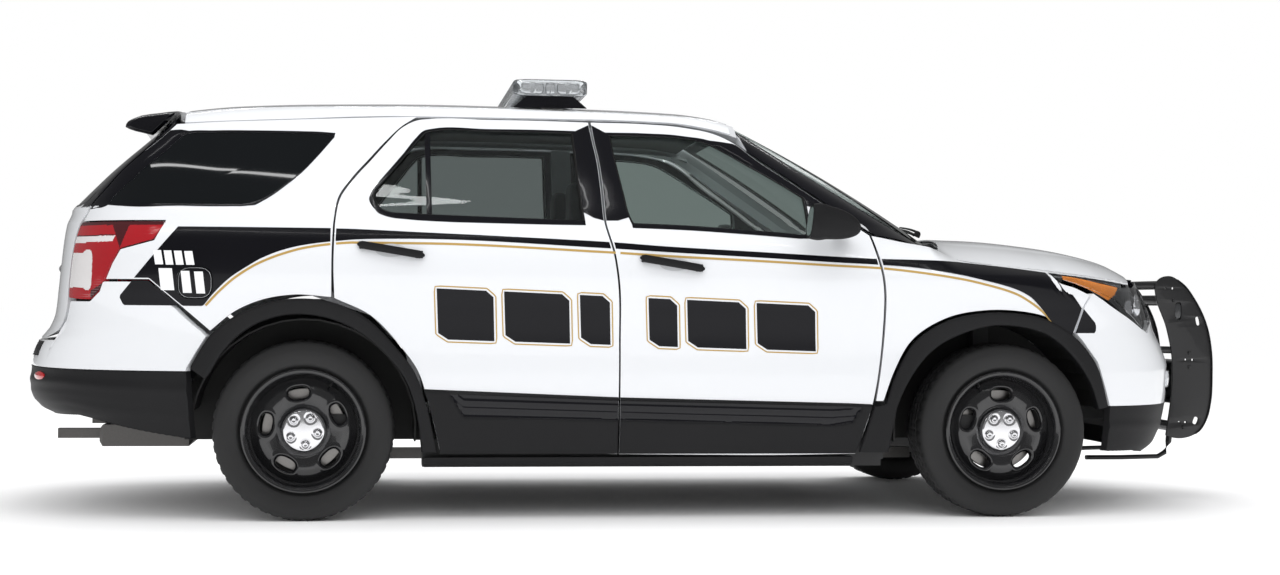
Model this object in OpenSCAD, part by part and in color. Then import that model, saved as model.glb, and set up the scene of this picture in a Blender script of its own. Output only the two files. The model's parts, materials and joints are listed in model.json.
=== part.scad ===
// Police patrol car (five-door sport utility), millimetres.
// X points forward, Y to the car's left, Z up; the ground is Z = 0 and X = 0 is halfway along the car.

/* [Export] */
// sub-part to draw

/* [Chassis] */
// distance between the axles
wheelbase = 2860; // [2600:10:3100]
// distance between the middles of a pair of tyres
track = 1702; // [1600:2:1740]
// tyre radius as it stands
tyre_r = 357; // [345:1:370]
// tyre width
tyre_w = 245; // [225:1:265]
// wheel diameter over its outer lip
rim_d = 492; // [450:1:520]
// middle of the wheelbase ahead of the car's middle
wb_shift = 0; // [-15:1:15]

/* [Body] */
// gap left along each panel joint
gap = 7; // [6:1:9]
// thickness of a door below its window
door_t = 108; // [90:1:112]
// thickness of a door's window frame
frame_t = 40; // [30:1:44]
// thickness of the hood and roof shells
shell_t = 26; // [16:1:30]
// thickness of the window glass
glass_t = 5; // [4:0.5:7]

/* [Equipment] */
// length of the roof light bar across the car
bar_len = 1180; // [900:10:1240]
// height of the light bar over its mounting feet
bar_h = 112; // [90:1:130]
// distance between the two uprights of the push bumper
push_w = 600; // [500:10:700]
// thickness of the push bumper's plates
push_t = 12; // [8:1:20]

/* [Hidden] */
// the outlines below are drawn for axles at 1430 ahead and behind, a track of 1702 and a hub height of 357;
// mv moves a point of them to suit the sizes above: both ends with their axle, the sides with the track, all up with the
// tyre, and everything more than 230 from a hub further out by as much as the tyre grows
x0 = 1430;
z0 = 357;
kr = rim_d/492;
kx = wheelbase/2-x0;
kt = tyre_r-z0;
MX = [[-2250,-kx-kt],[-1900,wb_shift-kx-kt],[-x0-400,wb_shift-kx-kt],[-x0-230,wb_shift-kx],[-x0+230,wb_shift-kx],[-x0+400,wb_shift-kx+kt],[-850,wb_shift-kx+kt],
  [850,wb_shift+kx-kt],[x0-400,wb_shift+kx-kt],[x0-230,wb_shift+kx],[x0+230,wb_shift+kx],[x0+400,wb_shift+kx+kt],[1900,wb_shift+kx+kt],[2250,kx+kt]];
MZ = [[z0+230,kt],[z0+400,2*kt]];
function mv(p) = [p[0]+lookup(p[0],MX), p[1]+sign(p[1])*min(1,abs(p[1])/700)*(track/2-851), p[2]+lookup(p[2],MZ)];

// ---------------------------------------------------------------- helpers
function clampv(v,a,b) = min(max(v,a),b);
function mix(a,b,t) = a + (b-a)*t;
function vsum(l) = [for (i = l) 1]*l;
function cuml(p) = [for (i = 0, s = 0; i < len(p); s = s + (i+1 < len(p) ? norm(p[i+1]-p[i]) : 0), i = i+1) s];
// n+1 points spaced evenly along the path p
function rs(p,n) = let (c = cuml(p), L = c[len(p)-1])
  [for (k = [0:n]) let (d = k/n*L, i = max([for (j = [0:len(p)-2]) if (c[j] <= d+1e-6) j]), t = (d-c[i])/(c[i+1]-c[i])) p[i] + (p[i+1]-p[i])*t];
// closed solid from points and triangles, turned the right way out
module solid(p,f) {
  v = vsum([for (t = f) cross(p[t[0]],p[t[1]])*p[t[2]]]);
  polyhedron(points = [for (q = p) mv(q)], faces = v > 0 ? [for (t = f) [t[2],t[1],t[0]]] : f);
}
function quad(a,b,c,d) = [[a,b,c],[a,c,d]];
// sheet between two grids of points A (outside) and B (inside), each [row][column]
module skin(A,B) {
  m = len(A); n = len(A[0]); o = m*n;
  p = concat([for (r = A) each r],[for (r = B) each r]);
  solid(p, concat(
    [for (i = [0:m-2]) for (j = [0:n-2]) each quad(i*n+j,i*n+j+1,(i+1)*n+j+1,(i+1)*n+j)],
    [for (i = [0:m-2]) for (j = [0:n-2]) each quad(o+i*n+j,o+(i+1)*n+j,o+(i+1)*n+j+1,o+i*n+j+1)],
    [for (i = [0:m-2]) for (j = [0,n-1]) let (a = i*n+j, b = (i+1)*n+j) each (j == 0 ? quad(a,b,o+b,o+a) : quad(b,a,o+a,o+b))],
    [for (j = [0:n-2]) for (i = [0,m-1]) let (a = i*n+j, b = i*n+j+1) each (i == 0 ? quad(b,a,o+a,o+b) : quad(a,b,o+b,o+a))]));
}
// solid that closes on itself both ways: loops L[loop][point]
module torus(L) {
  m = len(L); n = len(L[0]);
  solid([for (l = L) each l], [for (i = [0:m-1]) for (j = [0:n-1])
    let (a = i*n+j, b = i*n+(j+1)%n, c = ((i+1)%m)*n+(j+1)%n, d = ((i+1)%m)*n+j) each quad(a,b,c,d)]);
}
// solid swept through loops L[station][point], closed at both ends
module sweep(L) {
  m = len(L); n = len(L[0]);
  ca = vsum(L[0])/n; cb = vsum(L[m-1])/n;
  solid(concat([for (l = L) each l],[ca,cb]), concat(
    [for (i = [0:m-2]) for (j = [0:n-1]) let (a = i*n+j, b = i*n+(j+1)%n, c = (i+1)*n+(j+1)%n, d = (i+1)*n+j) each quad(a,b,c,d)],
    [for (j = [0:n-1]) [(j+1)%n, j, m*n]],
    [for (j = [0:n-1]) [(m-1)*n+j, (m-1)*n+(j+1)%n, m*n+1]]));
}
// block between two corners
module blk(a,b) { p = mv(a); q = mv(b); translate([min(p[0],q[0]),min(p[1],q[1]),min(p[2],q[2])]) cube([abs(q[0]-p[0]),abs(q[1]-p[1]),abs(q[2]-p[2])]); }
// flat prism across the car from an outline in x and z
module slab(o,y0,y1) { a = mv([0,y0,0])[1]; b = mv([0,y1,0])[1]; translate([0,max(a,b),0]) rotate([90,0,0]) linear_extrude(abs(b-a)) polygon([for (q = o) let (m = mv([q[0],0,q[1]])) [m[0],m[2]]]); }

// ---------------------------------------------------------------- body surface
// half width of the body against height
WT = [[150,905],[230,926],[300,948],[400,964],[520,972],[700,970],[850,980],[920,988],[980,992],[1040,989],[1110,972],[1160,948],[1205,915],[1240,896],[1300,868],[1400,822],[1500,772],[1640,700],[1700,664]];
// front and rear ends of the body against height
XF = [[150,2190],[200,2215],[290,2325],[450,2372],[600,2385],[700,2352],[765,2315],[860,2285],[990,2215],[1060,2180],[1205,2500],[1700,2500]];
XR = [[200,-2400],[390,-2490],[430,-2560],[500,-2600],[600,-2596],[650,-2586],[707,-2560],[756,-2522],[816,-2500],[900,-2490],[1000,-2480],[1180,-2460],[1240,-2440],[1700,-2440]];
// top of the roof and hood along the middle of the car
ZC = [[-2000,1672],[-1941,1684],[-1712,1710],[-1354,1726],[-884,1734],[-581,1732],[-205,1727],[117,1716],[262,1699],[330,1680],[400,1655]];
ZH = [[1180,1178],[1316,1172],[1482,1168],[1771,1142],[2015,1096],[2120,1062],[2200,1022],[2240,990]];
// height of the hood's side edge, and how far the fender's top edge folds in
HE = [[1130,1140],[1174,1108],[1259,1068],[1450,1046],[1697,1023],[2020,981],[2120,965]];
FD = [[900,0],[1174,0.10],[1700,0.10],[2070,0.02]];
function xf(z) = lookup(z,XF);
function xr(z) = lookup(z,XR);
function wid(z) = lookup(z,WT);
function plan(x,z) =
  x > 700 ? pow(max(0,1-pow(min(1,(x-700)/(xf(z)-700)),6)),0.4) :
  x < -900 ? pow(max(0,1-pow(min(1,(x+900)/(xr(z)+900)),6)),0.4) : 1;
function taper(x,z) = 1 - 0.09*clampv((z-1000)/205,0,1)*pow(max(0,x)/1200,2);
function sy(x,z) = wid(z)*plan(x,z)*taper(x,z);
function fs(x,z) = sy(x,z)*(1 - lookup(x,FD)*pow(clampv((z-lookup(x,HE)+80)/80,0,1),2));
// points round the front and rear ends: a is 0 in the middle and 90 at the side, d is the depth below the skin
function pf(a,z,d) = [700+(xf(z)-d-700)*pow(cos(a),1/3), (wid(z)-d)*pow(abs(sin(a)),0.8)*sign(a), z];
function pr(a,z,d) = [-900+(xr(z)+d+900)*pow(cos(a),1/3), (wid(z)-d)*pow(abs(sin(a)),0.8)*sign(a), z];
function af(x,z) = acos(pow(clampv((x-700)/(xf(z)-700),0,1),3));
function ar(x,z) = acos(pow(clampv((x+900)/(xr(z)+900),0,1),3));
function zroof(x,y) = lookup(x,ZC) - 133e-6*y*y;
function yroof(x) = lookup(x,[[-1930,612],[-1500,640],[0,655],[330,628],[420,612]]);
function zrail(x) = lookup(x,[[-1930,1590],[-1500,1613],[-1050,1634],[-276,1636],[56,1629],[193,1611],[305,1585],[380,1548]]);

// ---------------------------------------------------------------- outlines, in x and z
DF_OUT = [[-171,262],[150,259],[470,257],[808,262],[868,452],[894,592],[912,785],[911,936],[891,1054],[866,1160],[700,1280],[560,1375],[400,1484],[345,1530],[255,1578],[120,1607],[-60,1620],[-273,1622],[-262,1540],[-248,1464],[-234,1320],[-226,1190],[-196,1072],[-178,953],[-171,700],[-171,450]];
DF_IN = [[-120,1196],[80,1190],[330,1176],[560,1160],[600,1157],[612,1168],[614,1200],[613,1240],[610,1280],[604,1316],[545,1352],[475,1394],[376,1450],[291,1500],[190,1548],[90,1564],[-40,1569],[-200,1569],[-190,1500],[-175,1420],[-155,1320],[-134,1225],[-127,1208],[-124,1202],[-122,1199],[-121,1197]];
DR_OUT = [[-178,262],[-400,266],[-650,272],[-893,280],[-916,380],[-941,472],[-984,600],[-1056,699],[-1172,817],[-1313,884],[-1318,1000],[-1316,1120],[-1312,1205],[-1296,1283],[-1242,1365],[-1178,1440],[-1112,1518],[-1045,1588],[-990,1616],[-935,1624],[-700,1625],[-480,1625],[-284,1622],[-270,1540],[-256,1464],[-243,1320],[-234,1190],[-204,1072],[-186,953],[-178,700],[-178,450]];
DR_IN = [[-315,1205],[-450,1208],[-640,1213],[-830,1218],[-930,1221],[-985,1223],[-1040,1225],[-1085,1227],[-1112,1231],[-1135,1241],[-1152,1256],[-1162,1273],[-1166,1292],[-1158,1315],[-1137,1345],[-1085,1410],[-1035,1472],[-985,1535],[-955,1566],[-925,1574],[-700,1577],[-500,1578],[-350,1576],[-343,1500],[-337,1420],[-328,1320],[-320,1245],[-317,1220],[-316,1212],[-315.6,1209],[-315.2,1207]];
QP_OUT = [[-1326,888],[-1473,896],[-1586,878],[-1698,830],[-1795,752],[-1896,838],[-2034,952],[-2175,952],[-2205,985],[-2235,1030],[-2262,1080],[-2290,1130],[-2310,1165],[-2324,1189],[-2300,1240],[-2228,1320],[-2160,1395],[-2090,1460],[-2020,1520],[-1955,1583],[-1800,1594],[-1600,1604],[-1400,1614],[-1200,1624],[-1050,1630],[-1062,1584],[-1120,1522],[-1186,1446],[-1250,1371],[-1303,1290],[-1320,1200],[-1325,1100]];
QP_IN = [[-1640,1262],[-1660,1258],[-1680,1255],[-1720,1254],[-1780,1253],[-1850,1253],[-1920,1253],[-1980,1253],[-2030,1253],[-2080,1253],[-2120,1254],[-2155,1255],[-2185,1256],[-2215,1258],[-2205,1275],[-2160,1320],[-2110,1368],[-2060,1415],[-2000,1465],[-1920,1538],[-1800,1548],[-1650,1551],[-1500,1552],[-1400,1552],[-1345,1550],[-1338,1535],[-1372,1490],[-1412,1440],[-1462,1384],[-1520,1334],[-1575,1293],[-1610,1273]];
ARF_O = [[822,268],[878,458],[926,464],[971,593],[1047,722],[1179,809],[1348,845],[1459,845],[1628,812],[1752,737],[1834,639],[1898,455]];
ARF_I = [[948,268],[964,380],[979,464],[1017,550],[1127,690],[1292,772],[1380,791],[1460,791],[1629,747],[1742,650],[1810,552],[1851,444]];
ARR_O = [[-904,272],[-953,478],[-999,597],[-1070,689],[-1186,804],[-1324,868],[-1473,880],[-1586,861],[-1698,811],[-1797,730],[-1840,664],[-1872,604]];
ARR_I = [[-965,272],[-990,440],[-1032,560],[-1122,672],[-1243,765],[-1381,812],[-1517,812],[-1642,764],[-1742,671],[-1785,600],[-1800,575],[-1812,562]];

// ---------------------------------------------------------------- panels on the body surface
// ring-shaped panel of side s: outline o, opening c, thickness t(z), outline inset e about the point k
module ringpanel(s,oo,c,k,e,dl,T,B,off = 0) {
  n = len(oo);
  o = [for (q = oo) q-(q-k)/norm(q-k)*(gap-7)/2];
  function shr(q,f) = [q[0]+(k[0]-q[0])*f[0], q[1]+(k[1]-q[1])*f[1]];
  torus(concat(
    [for (t = T) [for (i = [0:n-1]) let (q = mix(c[i],o[i],t)) [q[0], s*(sy(q[0],q[1])-off), q[1]]]],
    [for (t = B) [for (i = [0:n-1]) let (q = mix(c[i],shr(o[i],e),t)) [q[0], s*(sy(q[0],q[1])-off-lookup(q[1],dl)), q[1]]]]));
}
// pane filling the opening c, set g inside it and d below the skin
module pane(s,c,g,d,th) {
  n = len(c);
  k = vsum(c)/n;
  function P(q,t,dd) = let (r = mix(k,q,t), u = q-k, w = t == 1 ? r - u/norm(u)*g : r) [w[0], s*(sy(w[0],w[1])-dd), w[1]];
  T = [1,0.5];
  L = concat([for (t = [0.5,1]) [for (q = c) P(q,t,d)]],[for (t = [1,0.5]) [for (q = c) P(q,t,d+th)]]);
  m = 4;
  solid(concat([for (l = L) each l],[P(k+[1e-3,0],0,d),P(k+[1e-3,0],0,d+th)]), concat(
    [for (i = [0:m-2]) for (j = [0:n-1]) let (a = i*n+j, b = i*n+(j+1)%n, cc = (i+1)*n+(j+1)%n, dd = (i+1)*n+j) each quad(a,b,cc,dd)],
    [for (j = [0:n-1]) [(j+1)%n, j, m*n]],
    [for (j = [0:n-1]) [(m-1)*n+j, (m-1)*n+(j+1)%n, m*n+1]]));
}
DT = [[255,52],[300,60],[360,door_t],[1020,door_t],[1150,80],[1200,56],[1250,frame_t],[1700,frame_t]];
module door_front(s) {
  ringpanel(s, DF_OUT, DF_IN, [330,860], [0.04,0.025], DT, [0,0.04,0.09,0.16,0.26,0.4,0.6,0.8,1], [1,0.6,0.12,0.05,0]);
}
module door_rear(s) {
  ringpanel(s, DR_OUT, DR_IN, [-700,900], [0.045,0.025], DT, [0,0.04,0.09,0.16,0.26,0.4,0.6,0.8,1], [1,0.6,0.12,0.05,0]);
}
// outside handle: x from a to b at height z
module handle(s,a,b,z) {
  y = sy(a,z);
  hull() { for (x = [a+14,b-14]) translate(mv([x,s*(y+26),z+(a-x)*0.16])) sphere(d = 26, $fn = 8); }
  for (x = [a+16,b-16]) hull() { translate(mv([x,s*(y+24),z+(a-x)*0.16])) cube([24,10,20],center = true); translate(mv([x,s*(y-6),z+(a-x)*0.16])) cube([30,10,26],center = true); }
}

// ---------------------------------------------------------------- body shell
function coons(B,T,L,R,n,m) = [for (i = [0:n]) [for (j = [0:m]) let (u = i/n, v = j/m)
  (1-v)*B[i] + v*T[i] + (1-u)*L[j] + u*R[j] - ((1-u)*(1-v)*B[0] + u*(1-v)*B[n] + (1-u)*v*T[0] + u*v*T[n])]];
module fender(s) {
  n = 14; m = 7;
  G = coons(rs([[887,480],[917,480],[960,600],[1037,732],[1173,820],[1348,856],[1459,856],[1632,823],[1730,768]],n),
            rs([[876,1158],[1000,1137],[1174,1103],[1259,1064],[1450,1042],[1636,1022]],n),
            rs([[887,480],[904,592],[922,785],[921,936],[901,1054],[876,1158]],m),
            rs([[1730,768],[1768,870],[1804,922],[1735,948],[1664,974],[1636,1022]],m), n, m);
  skin([for (r = G) [for (q = r) [q[0], s*fs(q[0],q[1]), q[1]]]],
       [for (r = G) [for (j = [0:m]) let (q = r[j]) [q[0], s*(fs(q[0],q[1])-(j == m ? 5 : 22)), q[1]]]]);
}
module front_fender_left() { color("white") fender(1); }
module front_fender_right() { color("white") fender(-1); }

// clearance round a tail lamp, in x and z
TLC = [[-2420,1189.5],[-1946,1189.5],[-1946,1156],[-1996,1103],[-2050,1089],[-2106,1072],[-2138,1034],[-2176,954],[-2186,930],[-2420,930]];
module quarter(s) {
  ringpanel(s, QP_OUT, QP_IN, [-1750,1250], [0.01,0.01], [[700,24],[1190,22],[1240,13],[1700,13]], [0,0.08,0.2,0.4,0.7,1], [1,0.5,0]);
}
module quarter_panel_left() { color("white") difference() { quarter(1); slab(TLC,500,1100); } }
module quarter_panel_right() {
  color("white") difference() { quarter(-1); slab(TLC,-500,-1100); blk([FX[0],-1100,FZ[0]],[FX[1],-700,FZ[1]]); }
  // cup behind the fuel door
  color("white") difference() { blk([FX[0]-8,-770,FZ[0]-8],[FX[1]+8,-800,FZ[1]+8]); blk([FX[0]+4,-778,FZ[0]+4],[FX[1]-4,-802,FZ[1]-4]); }
}
module quarter_glass() { color([0.05,0.05,0.06]) { for (s = [-1,1]) pane(s, QP_IN, 2, 6, glass_t); } }

module roof_panel() {
  n = 12; m = 12;
  function X(i,u) = mix(-1925, 352-46*u*u, i/n);
  A = [for (i = [0:n]) [for (j = [0:m]) let (u = 2*j/m-1, x = X(i,u), y = u*yroof(x)) [x, y, zroof(x,y)]]];
  color("white") skin(A, [for (r = A) [for (q = r) [q[0],q[1],q[2]-shell_t]]]);
}
// swept loop of the rail above the doors at x, and of the pillar beside the windshield
function raily(x,s) = let (yo = yroof(x)+3, zo = zroof(x,yroof(x)), zb = zrail(x), yb = sy(x,zb))
  [[x,s*yo,zo],[x,s*((yo+yb)/2+5),(zo+zb)/2+5],[x,s*yb,zb],[x,s*(yb-24),zb-2],[x,s*(yb-64),zb-28],[x,s*(yo-40),zo-64],[x,s*yo,zo-44]];
module body_side(s) {
  sweep([for (x = [-1925,-1700,-1400,-1050,-700,-300,0,150,255,340]) raily(x,s)]);
  // pillar beside the windshield
  sweep([for (t = [0,0.25,0.5,0.75,1]) let (
      wx = mix(1128,322,t), wy = mix(803,616,t), wz = mix(1112,1622,t),
      dx = mix(885,372,t), dz = mix(1164,1514,t), dy = sy(dx,dz))
    [[wx,s*wy,wz],[mix(wx,dx,0.5),s*(mix(wy,dy,0.5)+14),mix(wz,dz,0.5)+8],[dx+4,s*dy,dz],[dx+3,s*(dy-22),dz+1],[dx+4,s*(dy-58),dz+6],[wx-70,s*(wy-46),wz-52],[wx-20,s*(wy-8),wz-32]]]);
  // hinge pillar, sill, middle pillar, rear pillar and upper rear rail, all inside the doors
  hull() { blk([850,s*800,1030],[960,s*832,1040]); blk([830,s*812,470],[960,s*838,480]); }
  hull() { blk([700,s*812,232],[950,s*842,300]); blk([830,s*812,470],[960,s*838,480]); }
  hull() { blk([-960,s*700,205],[940,s*842,240]); blk([-960,s*740,300],[940,s*838,318]); }
  hull() { blk([-290,s*810,300],[-120,s*838,320]); blk([-262,s*812,800],[-150,s*838,810]); }
  hull() { blk([-262,s*812,800],[-150,s*838,810]); blk([-290,s*790,1140],[-190,s*816,1150]); }
  hull() { blk([-290,s*790,1140],[-190,s*816,1150]); blk([-320,s*622,1600],[-230,s*642,1606]); }
  hull() { blk([-960,s*780,300],[-920,s*838,318]); blk([-1030,s*800,670],[-995,s*838,680]); }
  hull() { blk([-1030,s*800,670],[-995,s*838,680]); blk([-1170,s*800,815],[-1130,s*838,830]); }
  hull() { blk([-1170,s*800,815],[-1130,s*838,830]); blk([-1400,s*800,890],[-1330,s*838,910]); }
  hull() { blk([-1400,s*800,890],[-1330,s*838,910]); blk([-1400,s*770,1160],[-1340,s*812,1170]); }
  hull() { blk([-1400,s*770,1160],[-1340,s*812,1170]); blk([-1190,s*610,1580],[-1130,s*636,1590]); }
}
module body_side_left() { color("white") body_side(1); }
module body_side_right() { color("white") body_side(-1); }

// windshield point: v from the bottom to the top, u across, d below the outside
function wsp(v,u,d) = let (b = [1245-120*u*u, 790*u, 1168-50*u*u], t = [370-48*u*u, 604*u, 1660-34*u*u], p = mix(b,t,v), k = 4*v*(1-v)*20)
  [p[0]+(k-d)*0.48, p[1], p[2]+(k-d)*0.88];
module windshield() {
  n = 8; m = 10;
  color([0.4,0.5,0.5]) skin([for (i = [0:n]) [for (j = [0:m]) wsp(i/n,2*j/m-1,0)]], [for (i = [0:n]) [for (j = [0:m]) wsp(i/n,2*j/m-1,glass_t+1)]]);
}
module cowl() {
  m = 8;
  function C(i,u,d) = [mix(1222-122*u*u, 1309-138*u*u, i/2), 770*u, 1146-46*u*u-5*i-d];
  color([0.06,0.06,0.06]) skin([for (i = [0:2]) [for (j = [0:m]) C(i,2*j/m-1,0)]], [for (i = [0:2]) [for (j = [0:m]) C(i,2*j/m-1,24)]]);
}
module wipers() {
  color([0.05,0.05,0.05]) for (y = [[-520,60],[120,640]]) {
    hull() for (k = [0,1]) translate(mv(wsp(0.04+0.045*k,y[k]/790,-24))) cube([9,9,12],center = true);
    hull() for (k = [0.35,1]) translate(mv(wsp(0.03+0.03*(1-k),mix(y[1],y[0],k)/790,-34))) cube([12,12,8],center = true);
  }
}

// ---------------------------------------------------------------- front and rear ends
EF = [[262,1911],[455,1909],[640,1850],[737,1774],[762,1748],[880,1790],[935,1832]];
ER = [[320,-1868],[520,-1882],[600,-1888],[664,-1852],[735,-1808],[824,-1855],[1000,-1903]];
UF = [0,0.14,0.27,0.40,0.415,0.48,0.543,0.605,0.68,0.76,0.835,0.93,1];
ZF = [[0,698],[0.40,698],[0.415,816],[0.543,784],[0.605,760],[0.68,784],[0.835,851],[0.93,898],[1,928]];
UR = [0,0.15,0.3,0.42,0.475,0.49,0.56,0.63,0.70,0.76,0.8,0.87,0.90,0.93,0.96,1];
ZR = [[0,703],[0.475,703],[0.49,862],[0.63,862],[0.70,888],[0.76,938],[0.87,938],[0.90,921],[0.96,836],[1,729]];
function sym(l) = concat([for (i = [len(l)-1:-1:1]) -l[i]], l);
module end_skin(front,u,zb,zt,th,n) {
  function P(w,v,d) = let (z = mix(lookup(abs(w),zb),lookup(abs(w),zt),v), a = w*(front ? af(lookup(z,EF),z) : ar(lookup(z,ER),z))) front ? pf(a,z,d) : pr(a,z,d);
  skin([for (w = sym(u)) [for (j = [0:n]) P(w,j/n,0)]], [for (w = sym(u)) [for (j = [0:n]) P(w,j/n,th)]]);
}
module front_bumper() { color("white") end_skin(true, UF, [[0,458],[1,458]], ZF, 34, 7); }
module front_valance() { color([0.06,0.06,0.06]) end_skin(true, UF, [[0,236],[0.5,240],[0.8,262],[1,266]], [[0,454],[1,454]], 34, 4); }
module rear_bumper() { color("white") end_skin(false, UR, [[0,600],[1,592]], ZR, 50, 6); }
module rear_valance() { color([0.06,0.06,0.06]) end_skin(false, UR, [[0,392],[0.62,410],[1,327]], [[0,596],[1,588]], 40, 4); }
// height of the hood's front edge at the angle a
AZH = [[0,1018],[28,1006],[35,998],[45,976]];
module grille() {
  A = [-28.6,-21,-14,-7,0,7,14,21,28.6];
  function P(a,v,d) = pf(a, mix(708,lookup(abs(a),AZH)-14,v), d);
  color([0.05,0.05,0.05]) skin([for (a = A) [for (j = [0:6]) P(a,j/6,6)]], [for (a = A) [for (j = [0:6]) P(a,j/6,30)]]);
}
HL = [[29.8,826,984],[35,806,977],[40,793,966],[45,770,955],[50,797,953],[55,848,962],[60,902,971],[68,951,988],[74,985,1002]];
module headlamp(s) {
  skin([for (h = HL) [for (j = [0:4]) let (q = pf(h[0],mix(h[1],h[2],j/4),1)) [q[0],s*q[1],q[2]]]],
       [for (h = HL) [for (j = [0:4]) let (q = pf(h[0],mix(h[1],h[2],j/4),h[0] > 61 ? 30 : 62)) [q[0],s*q[1],q[2]]]]);
}
module headlamps() { color([0.7,0.72,0.75]) { headlamp(-1); headlamp(1); } }
TL = [[0,878,1181],[41,874,1181],[44,874,1181],[48,876,1181],[53,905,1181],[57.5,960,1181],[60.5,1040,1181],[63,1081,1181],[67,1098,1181],[70,1112,1181],[72,1156,1181]];
module tail_lamp(s) {
  function A(h,z) = h[0] == 0 ? asin(pow(648/wid(z),1.25)) : h[0];
  skin([for (h = TL) [for (j = [0:4]) let (z = mix(h[1],h[2],j/4), q = pr(A(h,z),z,0)) [q[0],s*q[1],z]]],
       [for (h = TL) [for (j = [0:4]) let (z = mix(h[1],h[2],j/4), q = pr(A(h,z),z,0)) [q[0]+lookup(h[0],[[0,36],[48,34],[57,16],[61,0]]),s*(q[1]-(h[0] == 0 ? 0 : 20)),z]]]);
}
module tail_lamps() { color([0.5,0.03,0.05]) { tail_lamp(-1); tail_lamp(1); } }

module hood() {
  n = 10; m = 12;
  function xb(u) = 1318-140*u*u;
  function xfr(u) = 700+1503*pow(1-pow(abs(u)*726/991,2.5),1/6);
  function P(i,u,d) = let (x = mix(xb(u),xfr(u),i/n), ye = fs(x,lookup(x,HE))-12, zc = lookup(x,ZH), ze = lookup(x,HE)+1)
    [x-(i == n ? d*0.3 : 0), u*ye, zc-(zc-ze)*pow(abs(u),2.6)-d];
  color("white") skin([for (i = [0:n]) [for (j = [0:m]) P(i,2*j/m-1,0)]],
    [for (i = [0:n]) [for (j = [0:m]) P(i,2*j/m-1, (i == n || j == 0 || j == m) ? 7 : shell_t)]]);
}

// ---------------------------------------------------------------- liftgate
XC = [[1240,-2440],[1400,-2270],[1520,-2135],[1583,-2064],[1650,-1992],[1690,-1946]];
XE = [[1240,-2302],[1320,-2230],[1395,-2162],[1460,-2093],[1520,-2024],[1583,-1960],[1640,-1938]];
YE = [[1240,643],[1320,695],[1395,715],[1460,720],[1520,713],[1583,698],[1640,620]];
function lgx(y,z) = z <= 1240 ? -900+(xr(z)+900)*pow(1-pow(min(abs(y)/wid(z),1),2.5),1/6) : lookup(z,XC)+(lookup(z,XE)-lookup(z,XC))*pow(abs(y)/lookup(z,YE),3);
function msym(l) = concat(l, [for (i = [len(l)-2:-1:1]) [-l[i][0],l[i][1]]]);
LG_OUT = msym([[0,715],[300,715],[560,720],[618,742],[630,800],[634,900],[636,1000],[636,1100],[632,1180],[628,1240],[680,1320],[702,1395],[707,1460],[699,1520],[684,1583],[598,1630],[400,1659],[200,1675],[0,1680]]);
LG_IN = msym([[0,1262],[150,1262],[290,1262],[400,1262],[480,1263],[530,1266],[560,1272],[580,1284],[592,1300],[600,1322],[609,1360],[614,1400],[614,1460],[604,1520],[586,1558],[540,1582],[380,1596],[190,1602],[0,1604]]);
module liftgate() {
  n = len(LG_OUT);
  k = [0,1180];
  function P(t,e,d) = [for (i = [0:n-1]) let (o = mix(LG_OUT[i],k,e), q = mix(LG_IN[i],o,t), f = d*lookup(q[1],[[1240,42],[1560,30],[1640,26]]), w = clampv((q[1]-1180)/120,0,1))
    [lgx(q[0],q[1])+f*mix(1,0.74,w), q[0], q[1]-f*0.66*w]];
  color("white") torus(concat([for (t = [0,0.1,0.25,0.45,0.7,1]) P(t,0,0)],[for (t = [1,0.5,0]) P(t,0.035,1)]));
}
module liftgate_glass() {
  n = len(LG_IN); k = [0,1430];
  function P(q,t,d) = let (r = mix(k,q,t), u = q-k, w = t == 1 ? r-u/norm(u)*3 : r, f = clampv((w[1]-1180)/120,0,1)) [lgx(w[0],w[1])+d*mix(1,0.74,f), w[0], w[1]-d*0.66*f];
  color([0.05,0.05,0.06]) solid(concat([for (q = LG_IN) P(q,0.5,6)],[for (q = LG_IN) P(q,1,6)],[for (q = LG_IN) P(q,1,6+glass_t)],[for (q = LG_IN) P(q,0.5,6+glass_t)],[P([0,1431],0,6),P([0,1431],0,6+glass_t)]), concat(
    [for (i = [0:2]) for (j = [0:n-1]) let (a = i*n+j, b = i*n+(j+1)%n, c = (i+1)*n+(j+1)%n, d = (i+1)*n+j) each quad(a,b,c,d)],
    [for (j = [0:n-1]) [(j+1)%n, j, 4*n]], [for (j = [0:n-1]) [3*n+j, 3*n+(j+1)%n, 4*n+1]]));
}
module rear_spoiler() {
  function S(y) = let (z = zroof(-1932,y), f = lgx(y,z-12)-12) [[f,y,z-1],[-2050,y,z-9],[-2122,y,z-20],[-2168,y,z-42],[-2178,y,z-66],[-2138,y,z-82],[lgx(y,z-96)-16,y,z-98],[lgx(y,z-50)-17,y,z-52],[f-2,y,z-10]];
  color([0.04,0.04,0.04]) sweep([for (y = [-580,-500,-400,-250,-100,100,250,400,500,580]) S(y)]);
}

// ---------------------------------------------------------------- wheel arches
module arch(s,O,I,n) {
  o = rs(O,n); c = rs(I,n);
  function P(i,t,p,d) = let (q = mix(o[i],c[i],t)) [q[0], s*(sy(q[0],q[1])+p-d), q[1]];
  skin([for (i = [0:n]) [P(i,0,2,0),P(i,0.15,9,0),P(i,0.8,9,0),P(i,1,2,0)]], [for (i = [0:n]) [P(i,0,2,16),P(i,0.15,9,30),P(i,0.8,9,40),P(i,1,2,46)]]);
}
module wheel_arch_trim() { color([0.05,0.05,0.05]) for (s = [-1,1]) { arch(s,ARF_O,ARF_I,16); arch(s,ARR_O,ARR_I,16); } }
module liner(s,x,r,t,y0,y1,a0,a1) {
  n = 18;
  slab(concat([for (i = [0:n]) let (a = mix(a0,a1,i/n)) [x+(r+t)*cos(a),z0+(r+t)*sin(a)]],[for (i = [n:-1:0]) let (a = mix(a0,a1,i/n)) [x+r*cos(a),z0+r*sin(a)]]), s*y0, s*y1);
}
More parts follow.
